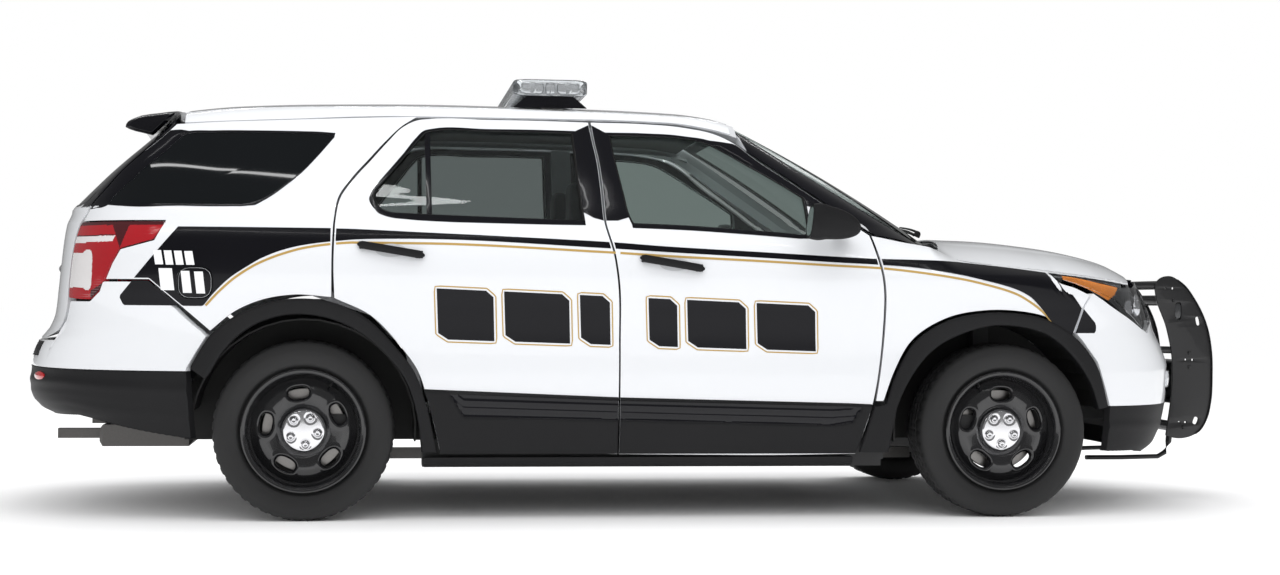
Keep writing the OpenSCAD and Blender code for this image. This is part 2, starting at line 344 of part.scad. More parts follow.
module wheel_housings() {
  color([0.1,0.1,0.1]) for (s = [-1,1]) {
    liner(s,x0,444,7,545,890,12,186);
    liner(s,-x0,438,7,610,890,-6,170);
  }
}
module side_trim(s) {
  // cladding along the foot of the doors' sill
  sweep([for (x = [-955,-500,0,500,800]) let (y = sy(x,255)) [[x,s*(y-2),249],[x,s*(y-14),226],[x,s*(y-60),206],[x,s*(y-82),210],[x,s*(y-82),238],[x,s*(y-40),249]]]);
}
module rocker_trim() { color([0.05,0.05,0.05]) { side_trim(-1); side_trim(1); } }

// ---------------------------------------------------------------- underside and cabin
module underbody() {
  color([0.12,0.12,0.12]) {
    slab([[960,300],[-640,300],[-760,450],[-790,450],[-655,272],[960,272]],-698,698);
    slab([[-740,420],[-800,500],[-2340,500],[-2340,472],[-815,472],[-760,400]],-604,604);
    slab([[1130,1060],[1105,1060],[1085,470],[990,300],[950,300],[950,272],[1005,272],[1112,455]],-538,538);
    for (s = [-1,1]) { blk([1105,s*530,835],[1130,s*780,1060]); blk([-2300,s*470,452],[-900,s*540,474]); }
    slab([[-2340,640],[-2315,640],[-2315,490],[-2340,490]],-604,604);
  }
}
module engine() {
  color([0.3,0.3,0.32]) { blk([1230,-300,340],[1760,300,860]); }
}
module front_structure() {
  color([0.1,0.1,0.1]) {
    for (s = [-1,1]) {
      blk([1140,s*440,380],[2120,s*500,470]);
      blk([1140,s*505,860],[1980,s*560,890]);
    }
    blk([2080,-620,340],[2130,620,420]);
    blk([2080,-560,430],[2120,560,880]);
    blk([1985,-620,860],[2075,620,890]);
  }
}
module front_subframe() {
  x = x0;
  color([0.12,0.12,0.12]) {
    blk([x-160,-400,205],[x+140,400,265]);
    for (s = [-1,1]) {
      hull() { blk([x-150,s*398,212],[x-110,s*404,242]); blk([x-16,s*705,214],[x+16,s*722,236]); }
      hull() { blk([x+100,s*398,212],[x+140,s*404,242]); blk([x-16,s*705,214],[x+16,s*722,236]); }
      hull() { translate(mv([x,s*636,500])) cube([70,70,4],center = true); translate(mv([x,s*606,782])) cube([66,66,4],center = true); }
      blk([x-34,s*602,236],[x+34,s*668,500]);
      blk([x-22,s*405,z0-22],[x+22,s*685,z0+22]);
      blk([x-200,s*90,300],[x-165,s*560,332]);
    }
  }
}
module rear_axle() {
  x = -x0;
  color([0.12,0.12,0.12]) {
    blk([x-90,-520,262],[x+90,520,345]);
    blk([x-120,-110,250],[x+140,110,400]);
    for (s = [-1,1]) {
      hull() { blk([x-30,s*515,280],[x+30,s*525,330]); blk([x-45,s*735,300],[x+45,s*742,z0+40]); }
      blk([x-60,s*735,z0-60],[x+60,s*846,z0+60]);
      hull() { blk([x+40,s*560,300],[x+110,s*600,340]); blk([x+560,s*560,310],[x+600,s*600,340]); }
      blk([x-60,s*540,330],[x+10,s*600,470]);
      caliper(x,s,1);
    }
  }
}
module exhaust() {
  color([0.5,0.5,0.5]) {
    hull() { blk([-2250,-600,272],[-1905,540,360]); blk([-2264,-584,292],[-1890,524,342]); }
    blk([-1895,-420,300],[-1700,-372,345]);
    hull() { blk([-1610,-420,205],[-1600,-372,250]); blk([-1702,-420,300],[-1700,-372,345]); }
    blk([-1605,-420,205],[1180,-372,250]);
    for (s = [-1,1]) blk([-2440,s*470,300],[-2255,s*515,340]);
  }
}
// brake caliper round the disc of a wheel, on side s, behind (f = 1) or ahead (f = -1) of the hub
module caliper(x,s,f) {
  difference() {
    blk([x+f*100*kr,s*838,z0-62*kr],[x+f*182*kr,s*898,z0+62*kr]);
    blk([x+f*90*kr,s*849,z0-70*kr],[x+f*172*kr,s*886,z0+70*kr]);
  }
}
module knuckle(s) {
  x = x0;
  color([0.15,0.15,0.15]) {
    blk([x-18,s*757,z0-118],[x+18,s*793,z0+130]);
    blk([x-58,s*793,z0-58],[x+58,s*845,z0+58]);
    blk([x-130,s*762,z0-40],[x-18,s*790,z0-14]);
    hull() { blk([x-100*kr,s*800,z0-50*kr],[x-95*kr,s*838,z0+50*kr]); blk([x-58,s*800,z0-40],[x-50,s*838,z0+40]); }
    caliper(x,s,-1);
  }
}
module knuckle_left() { knuckle(1); }
module knuckle_right() { knuckle(-1); }

// tyre and wheel, drawn round the Y axis with their outer side towards s
module tyre(x,s) {
  w = tyre_w/2; r = tyre_r; b = rim_d/2-16.5; h = (r-b)/127.5;
  color([0.06,0.06,0.06]) translate([x,s*track/2,tyre_r]) rotate([90,0,0]) rotate_extrude($fn = 96)
    polygon([[b,-w+26],[b+17.5*h,-w+23],[b+34*h,-w+9],[b+70*h,-w],[r-24*h,-w+7],[r-7*h,-w+18],[r-1*h,-w+34],[r,-w+64],[r,w-64],[r-1*h,w-34],[r-7*h,w-18],[r-24*h,w-7],[b+70*h,w],[b+34*h,w-9],[b+17.5*h,w-23],[b,w-26],
      [b,w-42],[b+28*h,w-34],[b+70*h,w-16],[r-30*h,w-26],[r-17*h,w-52],[r-17*h,-w+52],[r-30*h,-w+26],[b+70*h,-w+16],[b+28*h,-w+34],[b,-w+42]]);
}
module wheel(x,s) {
  R = rim_d/2; b = R-17;
  translate([x,s*track/2,tyre_r]) rotate([-s*90,0,0]) {
    color([0.08,0.08,0.08]) difference() {
      rotate_extrude($fn = 96) polygon([[0,52],[86*kr,52],[98*kr,66],[112*kr,78],[150*kr,82],[186*kr,68],[203*kr,52],[205*kr,20],[203*kr,-54],[b-3,-76],[b,-112],[R-6,-117],[R,-112],[R,-105],[b+8,-101],[b,-98],[b,-60],[b,98],[b+8,103],[R,107],[R,114],[R-6,117],[b-4,108],[b-10,78],[b-16,66],[190*kr,77],[150*kr,91],[108*kr,86],[92*kr,74],[80*kr,62],[0,62]]);
      for (k = [0:4]) rotate([0,0,k*72+90]) translate([150*kr,0,40]) { for (j = [-1,1]) translate([0,j*17*kr,0]) cylinder(d = 44*kr,h = 70,$fn = 32); translate([-22*kr,-17*kr,0]) cube([44*kr,34*kr,70]); }
    }
    color([0.8,0.8,0.82]) { translate([0,0,62.5]) cylinder(r1 = 86*kr, r2 = 80*kr, h = 20, $fn = 64);
      for (k = [0:4]) rotate([0,0,k*72+54]) translate([57*kr,0,82.4]) cylinder(d = 26,h = 12,$fn = 24); }
    color([0.4,0.4,0.4]) { translate([0,0,5]) cylinder(r = 164*kr, h = 24, $fn = 64); translate([0,0,28]) cylinder(r = 82*kr, h = 23.5, $fn = 64); }
  }
}
module tyre_front_left() { tyre(wb_shift+wheelbase/2,1); }
module tyre_front_right() { tyre(wb_shift+wheelbase/2,-1); }
module tyre_rear_left() { tyre(wb_shift-wheelbase/2,1); }
module tyre_rear_right() { tyre(wb_shift-wheelbase/2,-1); }
module wheel_front_left() { wheel(wb_shift+wheelbase/2,1); }
module wheel_front_right() { wheel(wb_shift+wheelbase/2,-1); }
module wheel_rear_left() { wheel(wb_shift-wheelbase/2,1); }
module wheel_rear_right() { wheel(wb_shift-wheelbase/2,-1); }

module dashboard() {
  color([0.08,0.08,0.09]) {
    slab([[1075,1075],[1040,1110],[900,1125],[800,1118],[730,1080],[712,1000],[740,880],[820,800],[1070,760]],-700,700);
    hull() { blk([715,-110,700],[820,110,880]); blk([420,-110,560],[700,110,640]); }
    blk([-120,-115,304],[700,115,560]);
    hull() { blk([700,300,940],[720,440,1040]); blk([600,330,965],[610,410,1035]); }
  }
}
module steering_wheel() {
  color([0.05,0.05,0.05]) translate(mv([535,370,1003])) rotate([0,-68,0]) {
    rotate_extrude($fn = 48) translate([176,0]) circle(d = 28,$fn = 12);
    translate([0,0,-14]) cylinder(d = 130,h = 30,$fn = 32);
    for (a = [0,180,270]) rotate([0,0,a+90]) translate([50,-17,-8]) cube([122,34,14]);
  }
}
module seat(y,w) {
  hull() { blk([-40,y-w/2,470],[420,y+w/2,560]); blk([-20,y-w/2+30,560],[440,y+w/2-30,602]); }
  hull() { blk([-95,y-w/2+10,560],[-10,y+w/2-10,600]); blk([-300,y-w/2+40,1140],[-230,y+w/2-40,1170]); blk([-260,y-w/2+10,1000],[-140,y+w/2-10,1010]); }
  hull() { blk([-335,y-130,1205],[-265,y+130,1220]); blk([-330,y-110,1370],[-280,y+110,1385]); }
  for (k = [-50,50]) blk([-296,y+k-6,1160],[-284,y+k+6,1210]);
  blk([-20,y-w/2+40,304],[400,y+w/2-40,480]);
}
module front_seats() { color([0.1,0.1,0.11]) { seat(-385,510); seat(385,510); } }
module rear_seat() {
  color([0.1,0.1,0.11]) {
    hull() { blk([-1060,-600,506],[-560,600,580]); blk([-1040,-580,580],[-590,580,620]); }
    blk([-606,-560,300.5],[-580,560,510]);
    hull() { blk([-1110,-600,560],[-1020,600,600]); blk([-1300,-590,1130],[-1230,590,1160]); }
    for (y = [-390,390]) { hull() { blk([-1335,y-120,1200],[-1270,y+120,1210]); blk([-1325,y-105,1310],[-1285,y+105,1325]); } blk([-1300,y-40,1155],[-1288,y+40,1205]); }
  }
}

// ---------------------------------------------------------------- doors and what they carry
module door_front_s(s) { color("white") door_front(s); color([0.05,0.05,0.05]) handle(s,-99,165,1056); }
module door_rear_s(s) { color("white") door_rear(s); color([0.05,0.05,0.05]) handle(s,-1226,-960,1098); }
module door_front_left() { door_front_s(1); }
module door_front_right() { door_front_s(-1); }
module door_rear_left() { door_rear_s(1); }
module door_rear_right() { door_rear_s(-1); }
module glass_front(s) { color([0.4,0.5,0.5]) pane(s, DF_IN, 2, 16, glass_t); }
module glass_rear(s) { color([0.3,0.35,0.35]) pane(s, DR_IN, 2, 16, glass_t); }
module glass_front_left() { glass_front(1); }
module glass_front_right() { glass_front(-1); }
module glass_rear_left() { glass_rear(1); }
module glass_rear_right() { glass_rear(-1); }
module mirror_s(s) {
  y = sy(690,1158);
  color([0.05,0.05,0.05]) {
    hull() { for (z = [1150,1255]) translate(mv([600,s*1075,z])) sphere(d = 56,$fn = 10); for (z = [1158,1262]) translate(mv([606,s*1118,z])) sphere(d = 50,$fn = 10); for (z = [1158,1240]) translate(mv([690,s*1090,z])) sphere(d = 60,$fn = 10); translate(mv([768,s*1035,1170])) sphere(d = 44,$fn = 10); }
    hull() { translate(mv([748,s*1030,1172])) cube([60,20,26],center = true); translate(mv([735,s*(y+12),1172])) cube([84,8,26],center = true); }
  }
}
module mirror_left() { mirror_s(1); }
module mirror_right() { mirror_s(-1); }

// ---------------------------------------------------------------- equipment
module light_bar() {
  xr0 = -588; x1 = -272; L = bar_len/2;
  zb = zroof(-430,0)+3;
  // height of the foot's underside near the bar's ends, clear of the roof
  function zf(y) = zroof(-430,y)+6;
  color([0.05,0.05,0.05]) {
    blk([xr0+48,-L+16,zb+1],[x1-48,L-16,zb+8]);
    for (s = [-1,1]) {
      hull() { blk([xr0+48,s*(L-130),zb+1],[x1-48,s*(L-16),zb+6]); blk([xr0+4,s*(L-18),zf(L-16)],[x1-4,s*(L-16),zf(L-16)+3]); blk([xr0+4,s*(L-112),zf(L-110)],[x1-4,s*(L-110),zf(L-110)+3]); }
      hull() { blk([-490,s*(L-100),zb-8],[-370,s*(L-60),zb-6]); blk([-485,s*(L-90),zf(L-70)-3],[-375,s*(L-50),zf(L-70)-2]); }
    }
  }
  color([0.85,0.85,0.85]) hull() { blk([xr0,-L+30,zb+8],[x1,L-30,zb+28]); blk([xr0+26,-L+70,zb+bar_h-36],[x1-26,L-70,zb+bar_h-30]); blk([xr0+6,-L,zb+10],[x1-6,L,zb+bar_h-44]); blk([xr0+30,-L+30,zb+bar_h-36],[x1-30,L-30,zb+bar_h-34]); }
}
PB = [[2418,1016],[2378,1006],[2354,980],[2356,932],[2409,779],[2436,640],[2436,513],[2408,293],[2447,281],[2517,286],[2566,312],[2602,370],[2620,446],[2626,560],[2622,680],[2600,790],[2545,905],[2480,985]];
module push_bumper() {
  color([0.05,0.05,0.05]) {
    for (s = [-1,1]) {
      difference() {
        slab(PB, s*(push_w/2-push_t/2), s*(push_w/2+push_t/2));
        for (q = [[2455,860,1],[2470,900,1]]) blk([q[0]-18,s*(push_w/2-40),q[1]-30],[q[0]+12,s*(push_w/2+40),q[1]+20]);
      }
      // flange along the front edge, and the two arms back to the car
      for (i = [11:16]) hull() { translate(mv([PB[i][0]-4,s*(push_w/2-16),PB[i][1]])) cube([6,30,3],center = true); translate(mv([PB[i+1][0]-4,s*(push_w/2-16),PB[i+1][1]])) cube([6,30,3],center = true); }
      blk([2226,s*(push_w/2-24),952],[2372,s*(push_w/2-push_t/2),990]);
      blk([2392,s*(push_w/2-24),660],[2440,s*(push_w/2-push_t/2),700]);
      hull() { blk([2404,s*(push_w/2-40),300],[2470,s*(push_w/2-push_t/2),380]); blk([2380,s*(push_w/2-40),186],[2420,s*(push_w/2-push_t/2),200]); }
      blk([2040,s*(push_w/2-40),184],[2420,s*(push_w/2-push_t/2),200]);
    }
    blk([2440,-push_w/2,620],[2600,push_w/2,632]);
    blk([2588,-push_w/2,440],[2600,push_w/2,632]);
    blk([2440,-push_w/2,432],[2600,push_w/2,444]);
    blk([2420,-push_w/2,880],[2470,push_w/2,930]);
    blk([2470,-push_w/2,300],[2520,push_w/2,350]);
  }
}

// ---------------------------------------------------------------- fuel door, right side
FX = [-1925,-1785]; FZ = [874,1004];
module fuel_door() {
  color("white") skin([for (i = [0:3]) [for (j = [0:3]) let (x = mix(FX[0]+6,FX[1]-6,i/3), z = mix(FZ[0]+6,FZ[1]-6,j/3)) [x,-sy(x,z),z]]],
    [for (i = [0:3]) [for (j = [0:3]) let (x = mix(FX[0]+6,FX[1]-6,i/3), z = mix(FZ[0]+6,FZ[1]-6,j/3)) [x,-sy(x,z)+6,z]]]);
}

// ---------------------------------------------------------------- list

underbody();
front_structure();
engine();
front_subframe();
rear_axle();
exhaust();
wheel_housings();
body_side_left();
body_side_right();
front_fender_left();
front_fender_right();
quarter_panel_left();
quarter_panel_right();
quarter_glass();
roof_panel();
windshield();
cowl();
wipers();
front_bumper();
front_valance();
rear_bumper();
rear_valance();
grille();
headlamps();
tail_lamps();
hood();
liftgate();
liftgate_glass();
rear_spoiler();
wheel_arch_trim();
rocker_trim();
dashboard();
steering_wheel();
front_seats();
rear_seat();
light_bar();
push_bumper();
fuel_door();
door_front_left();
door_front_right();
door_rear_left();
door_rear_right();
glass_front_left();
glass_front_right();
glass_rear_left();
glass_rear_right();
mirror_left();
mirror_right();
knuckle_left();
knuckle_right();
tyre_front_left();
tyre_front_right();
tyre_rear_left();
tyre_rear_right();
wheel_front_left();
wheel_front_right();
wheel_rear_left();
wheel_rear_right();
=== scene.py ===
import json
import bmesh
import bpy
import numpy as np
from mathutils import Matrix

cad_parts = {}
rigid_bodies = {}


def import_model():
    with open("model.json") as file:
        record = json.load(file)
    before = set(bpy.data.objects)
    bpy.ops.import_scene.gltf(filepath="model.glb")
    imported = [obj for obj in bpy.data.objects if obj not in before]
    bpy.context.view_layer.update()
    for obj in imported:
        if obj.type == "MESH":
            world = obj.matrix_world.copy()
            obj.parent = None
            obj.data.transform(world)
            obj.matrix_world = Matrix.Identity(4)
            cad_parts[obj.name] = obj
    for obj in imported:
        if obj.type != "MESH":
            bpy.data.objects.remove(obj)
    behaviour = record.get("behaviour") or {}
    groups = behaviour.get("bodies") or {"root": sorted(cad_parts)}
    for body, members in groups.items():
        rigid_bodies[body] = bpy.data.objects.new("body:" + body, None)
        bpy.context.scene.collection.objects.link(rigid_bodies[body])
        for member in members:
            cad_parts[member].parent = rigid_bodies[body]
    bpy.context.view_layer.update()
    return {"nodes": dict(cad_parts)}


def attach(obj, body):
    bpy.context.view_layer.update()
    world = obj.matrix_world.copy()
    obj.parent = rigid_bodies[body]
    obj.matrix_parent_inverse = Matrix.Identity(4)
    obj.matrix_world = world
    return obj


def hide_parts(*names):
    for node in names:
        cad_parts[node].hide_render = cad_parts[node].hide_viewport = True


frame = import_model()

# ---- Studio: a pale sweep of floor, one large soft box overhead, one on each side,
# ---- and a camera level with the door handles, a little behind the middle of the car.
def turn(yaw, pitch, roll):
    """Camera axes (right, up, back) for a heading from +Y, a climb and a roll, in degrees."""
    a, b, c = np.radians([yaw, pitch, roll])
    f = np.array([np.sin(a)*np.cos(b), np.cos(a)*np.cos(b), np.sin(b)])
    r = np.array([np.cos(a), -np.sin(a), 0.0])
    u = np.cross(r, f)
    return np.stack([np.cos(c)*r + np.sin(c)*u, np.cos(c)*u - np.sin(c)*r, -f], 1)

eye = bpy.data.cameras.new("eye")
eye.sensor_width = 36.0
eye.lens = 1966/1280*36.0
eye_object = bpy.data.objects.new("eye", eye)
bpy.context.collection.objects.link(eye_object)
pose = np.eye(4)
pose[:3, :3] = turn(7.62, 0.45, 0.47)
pose[:3, 3] = (-1.147, -8.836, 0.874)
eye_object.matrix_world = Matrix(pose.tolist())
bpy.context.scene.camera = eye_object
bpy.context.scene.view_settings.view_transform = "Standard"

world = bpy.data.worlds.new("studio")
bpy.context.scene.world = world
world.use_nodes = True
air = world.node_tree
seen = air.nodes.new("ShaderNodeLightPath")
# the camera sees white, glossy surfaces a dim room, and everything else an even pale light
glow = air.nodes["Background"].inputs["Color"]
for ray, shade in (("Is Camera Ray", 1.0), ("Is Glossy Ray", 0.20), (None, 1.04)):
    if ray is None:
        glow.default_value = (shade, shade, shade, 1)
        break
    shades = air.nodes.new("ShaderNodeMix")
    shades.data_type = "RGBA"
    shades.inputs["B"].default_value = (shade, shade, shade, 1)
    air.links.new(seen.outputs[ray], shades.inputs["Factor"])
    air.links.new(shades.outputs["Result"], glow)
    glow = shades.inputs["A"]

def unit(v):
    """Vectors divided by their own length."""
    return v/np.linalg.norm(v, axis=-1, keepdims=True)

def soft_box(name, place, aim, size, power, mirrored=False):
    """A rectangular light at place, in metres, that faces aim."""
    lamp = bpy.data.lights.new(name, "AREA")
    lamp.shape = "RECTANGLE"
    lamp.size, lamp.size_y, lamp.energy = size[0], size[1], power
    holder = bpy.data.objects.new(name, lamp)
    bpy.context.collection.objects.link(holder)
    back = unit(np.array(place, float) - np.array(aim, float))
    side = unit(np.cross([0, 1, 0.01] if abs(back[2]) > 0.9 else [0, 0, 1], back))
    m = np.eye(4)
    m[:3, :3] = np.stack([side, np.cross(back, side), back], 1)
    m[:3, 3] = place
    holder.matrix_world = Matrix(m.tolist())
    holder.visible_glossy = mirrored

soft_box("overhead", (0, 0, 5.2), (0, 0, 0), (4.6, 8.5), 120)
soft_box("near_side", (0.5, -7.5, 4.6), (0, 0, 0.6), (9.0, 2.4), 60)
soft_box("far_side", (-0.5, 7.0, 4.2), (0, 0, 0.6), (9.0, 2.4), 90)
soft_box("tube_near", (-0.6, -3.1, 4.1), (0, 0, 0.5), (7.5, 0.05), 16, True)
soft_box("tube_far", (-0.6, 3.3, 4.3), (0, 0, 0.5), (7.5, 0.05), 16, True)

# ---- Finishes: every surface carries fine grain and broad faint staining, worked out
# ---- from its place on the car, so no two panels look stamped from one flat colour.
wear = bpy.data.node_groups.new("grain_and_stain", "ShaderNodeTree")
for socket, kind, first in (("Colour", "Color", None), ("Grain size", "Float", 300), ("Tone", "Float", 0.05),
    ("Roughness", "Float", 0.4), ("Spread", "Float", 0.05), ("Relief", "Float", 0.0001)):
    made = wear.interface.new_socket(name=socket, in_out="INPUT", socket_type="NodeSocket"+kind)
    if first is not None:
        made.default_value = first
for socket, kind in (("Colour", "Color"), ("Roughness", "Float"), ("Normal", "Vector")):
    wear.interface.new_socket(name=socket, in_out="OUTPUT", socket_type="NodeSocket"+kind)
g_in, g_out = wear.nodes.new("NodeGroupInput"), wear.nodes.new("NodeGroupOutput")
spot = wear.nodes.new("ShaderNodeTexCoord")

def grain_noise(scale, detail):
    """Noise on the car's own coordinates."""
    n = wear.nodes.new("ShaderNodeTexNoise")
    n.inputs["Detail"].default_value = detail
    wear.links.new(spot.outputs["Object"], n.inputs["Vector"])
    if isinstance(scale, (int, float)):
        n.inputs["Scale"].default_value = scale
    else:
        wear.links.new(scale, n.inputs["Scale"])
    return n.outputs["Fac"]

def sum_of(kind, a, b, c=0.5):
    """One arithmetic node over sockets or numbers."""
    n = wear.nodes.new("ShaderNodeMath")
    n.operation = kind
    for s, v in zip(n.inputs, (a, b, c)):
        if isinstance(v, (int, float)):
            s.default_value = v
        else:
            wear.links.new(v, s)
    return n.outputs[0]

fine, broad = grain_noise(g_in.outputs["Grain size"], 3.0), grain_noise(3.1, 4.0)
both_ways = sum_of("SUBTRACT", sum_of("ADD", fine, broad), 1.0)
lighter = wear.nodes.new("ShaderNodeHueSaturation")
wear.links.new(g_in.outputs["Colour"], lighter.inputs["Color"])
wear.links.new(sum_of("MULTIPLY_ADD", both_ways, g_in.outputs["Tone"], 1.0), lighter.inputs["Value"])
wear.links.new(lighter.outputs["Color"], g_out.inputs["Colour"])
rougher = sum_of("MULTIPLY_ADD", sum_of("SUBTRACT", broad, 0.5), g_in.outputs["Spread"], g_in.outputs["Roughness"])
wear.links.new(rougher, g_out.inputs["Roughness"])
raised = wear.nodes.new("ShaderNodeBump")
wear.links.new(fine, raised.inputs["Height"])
wear.links.new(g_in.outputs["Relief"], raised.inputs["Distance"])
wear.links.new(raised.outputs["Normal"], g_out.inputs["Normal"])

def finish(name, colour, rough, spread=0.08, grain=400, tone=0.06, relief=0.00002, **shader):
    """A material: the shared grain with this finish's own values, and the shader's own settings."""
    m = bpy.data.materials.new(name)
    m.use_nodes = True
    nodes, links = m.node_tree.nodes, m.node_tree.links
    shade = nodes["Principled BSDF"]
    g = nodes.new("ShaderNodeGroup")
    g.node_tree = wear
    for key, value in (("Colour", (*colour, 1)), ("Grain size", grain), ("Tone", tone), ("Roughness", rough),
        ("Spread", spread), ("Relief", relief)):
        g.inputs[key].default_value = value
    links.new(g.outputs["Colour"], shade.inputs["Base Color"])
    links.new(g.outputs["Roughness"], shade.inputs["Roughness"])
    links.new(g.outputs["Normal"], shade.inputs["Normal"])
    for key, value in shader.items():
        shade.inputs[key.replace("_", " ")].default_value = value
    return m

white_paint = finish("white_paint", (0.77, 0.785, 0.81), 0.30, 0.06, 220, 0.015, 0.000004, Coat_Weight=1.0,
    Coat_Roughness=0.03)
# A grey copy of the white paint: painted shade, used in the door handle cups and on the inside of the hood.
white_in_painted_shade = finish("white_in_painted_shade", (0.55, 0.56, 0.58), 0.38, 0.10, 220, 0.04, 0.00001)
# Body sides: above 0.56 m a grey copy of the white paint, painted shade for the jambs and gaps; below 0.50 m it steps
# to near black.
shade_grey_sides = finish("sides_painted_shade_black_low", (0.55, 0.56, 0.58), 0.42, 0.10, 220, 0.04, 0.00001)
net = shade_grey_sides.node_tree
place, part, step, tint = (net.nodes.new(k) for k in ("ShaderNodeTexCoord", "ShaderNodeSeparateXYZ",
    "ShaderNodeMapRange", "ShaderNodeMix"))
tint.data_type = "RGBA"
step.inputs["From Min"].default_value, step.inputs["From Max"].default_value = 0.50, 0.56
tint.inputs["A"].default_value, tint.inputs["B"].default_value = (0.02, 0.02, 0.021, 1), (0.55, 0.56, 0.58, 1)
net.links.new(place.outputs["Object"], part.inputs["Vector"])
net.links.new(part.outputs["Z"], step.inputs["Value"])
net.links.new(step.outputs["Result"], tint.inputs["Factor"])
net.links.new(tint.outputs["Result"], next(n for n in net.nodes if n.type == "GROUP").inputs["Colour"])
gloss_black = finish("gloss_black", (0.004, 0.004, 0.006), 0.16, 0.06, 160, 0.2, 0.000004, Coat_Weight=0.25,
    Coat_Roughness=0.02, Specular_IOR_Level=0.25)
trim_black = finish("grained_black_plastic", (0.012, 0.012, 0.013), 0.52, 0.12, 900, 0.35, 0.00022,
    Specular_IOR_Level=0.2)
rubber = finish("seal_rubber", (0.008, 0.008, 0.008), 0.62, 0.1, 700, 0.3, 0.0001)
dark_metal = finish("undercoated_steel", (0.022, 0.022, 0.023), 0.66, 0.2, 240, 0.5, 0.0004)
exhaust_metal = finish("aluminised_steel", (0.16, 0.155, 0.15), 0.48, 0.2, 120, 0.25, 0.0001, Metallic=1.0)
chrome = finish("chrome_plate", (0.82, 0.82, 0.84), 0.09, 0.06, 90, 0.04, 0.00001, Metallic=1.0)

# ---- Body surface: one shape that every outer panel is cut from. It is given as the half
# ---- width against height, drawn in towards the nose and the tail.
def smooth(x, knots):
    """Curve through the knots that never overshoots: cubic pieces with harmonic-mean slopes."""
    k = np.asarray(knots, float)
    X, Y = k[:, 0], k[:, 1]
    h, d = np.diff(X), np.diff(Y)/np.diff(X)
    both = d[1:]+d[:-1]
    m = np.concatenate([d[:1], np.where(d[1:]*d[:-1] > 0, 2*d[1:]*d[:-1]/np.where(both == 0, 1, both), 0), d[-1:]])
    x = np.asarray(x, float)
    i = np.clip(np.searchsorted(X, x) - 1, 0, len(h) - 1)
    t = np.clip((x - X[i])/h[i], 0, 1)
    return ((1+2*t)*(1-t)**2*Y[i] + t*(1-t)**2*h[i]*m[i] + t*t*(3-2*t)*Y[i+1] + t*t*(t-1)*h[i]*m[i+1])

def lin(x, knots):
    """Straight-line reading of a table, held at its ends."""
    k = np.asarray(knots, float)
    return np.interp(x, k[:, 0], k[:, 1])

WIDTH = [[150,905],[230,926],[300,948],[400,964],[520,972],[700,970],[850,980],[920,988],[980,992],[1040,989],
    [1110,972],[1160,948],[1205,915],[1240,896],[1300,868],[1400,822],[1500,772],[1640,700],[1700,664]]
NOSE = [[150,2190],[200,2215],[290,2325],[450,2372],[600,2385],[700,2352],[765,2315],[860,2285],[990,2215],
    [1060,2180]]
TAIL = [[200,-2400],[390,-2490],[430,-2560],[500,-2600],[600,-2596],[650,-2586],[707,-2560],[756,-2522],[816,-2500],
    [900,-2490],[1000,-2480],[1180,-2460],[1240,-2440],[1700,-2440]]
ROOF_TOP = [[-2000,1672],[-1941,1684],[-1712,1710],[-1354,1726],[-884,1734],[-581,1732],[-205,1727],[117,1716],
    [262,1699],[330,1680],[400,1655]]
HOOD_TOP = [[1180,1178],[1316,1172],[1482,1168],[1771,1142],[2015,1096],[2120,1062],[2200,1022],[2240,990]]
HOOD_SIDE = [[1130,1140],[1174,1108],[1259,1068],[1450,1046],[1697,1023],[2020,981],[2120,965]]
FENDER_FOLD = [[900,0],[1174,0.10],[1700,0.10],[2070,0.02]]
ROOF_HALF = [[-1930,612],[-1500,640],[0,655],[330,628],[420,612]]
RAIL = [[-1930,1590],[-1500,1613],[-1050,1634],[-276,1636],[56,1629],[193,1611],[305,1585],[380,1548]]

def nose_x(z):
    z = np.asarray(z, float)
    return np.where(z > 1060, np.minimum(2180 + (z-1060)*320/145, 2500), smooth(np.minimum(z, 1060), NOSE))

def tail_x(z):
    return smooth(z, TAIL)

def half_width(z):
    return smooth(z, WIDTH)

def flank(x, z):
    """Half width of the body at x and z: the section's width, rounded in towards both ends,
    with the fender's top edge folded in under the hood."""
    x, z = np.asarray(x, float), np.asarray(z, float)
    f = np.clip((x-700)/(nose_x(z)-700), 0, 1)**6
    r = np.clip((x+900)/(tail_x(z)+900), 0, 1)**6
    plan = np.where(x > 700, (1-f)**0.4, np.where(x < -900, (1-r)**0.4, 1))
    taper = 1 - 0.09*np.clip((z-1000)/205, 0, 1)*(np.maximum(x, 0)/1200)**2
    fold = 1 - lin(x, FENDER_FOLD)*np.clip((z-smooth(x, HOOD_SIDE)+80)/80, 0, 1)**2
    return half_width(z)*plan*taper*fold

def points(x, y, z):
    """Points from three coordinates, each a number or a grid, spread to one shape."""
    return np.stack(np.broadcast_arrays(x, y, z), -1)

def end_point(front, a, z, d=0.0):
    """Point round the nose or the tail: a is 0 in the middle of the car and 90 degrees on its side,
    d the depth below the skin."""
    c, s = np.cos(np.radians(a)), np.sin(np.radians(a))
    reach = (nose_x(z)-d-700)*np.cbrt(c) + 700 if front else (tail_x(z)+d+900)*np.cbrt(c) - 900
    return points(reach, (half_width(z)-d)*np.abs(s)**0.8*np.sign(s), z + 0*reach)

def end_angle(front, x, z):
    """The angle at which end_point reaches x."""
    w = (x-700)/(nose_x(z)-700) if front else (x+900)/(tail_x(z)+900)
    return np.degrees(np.arccos(np.clip(w, 0, 1)**3))

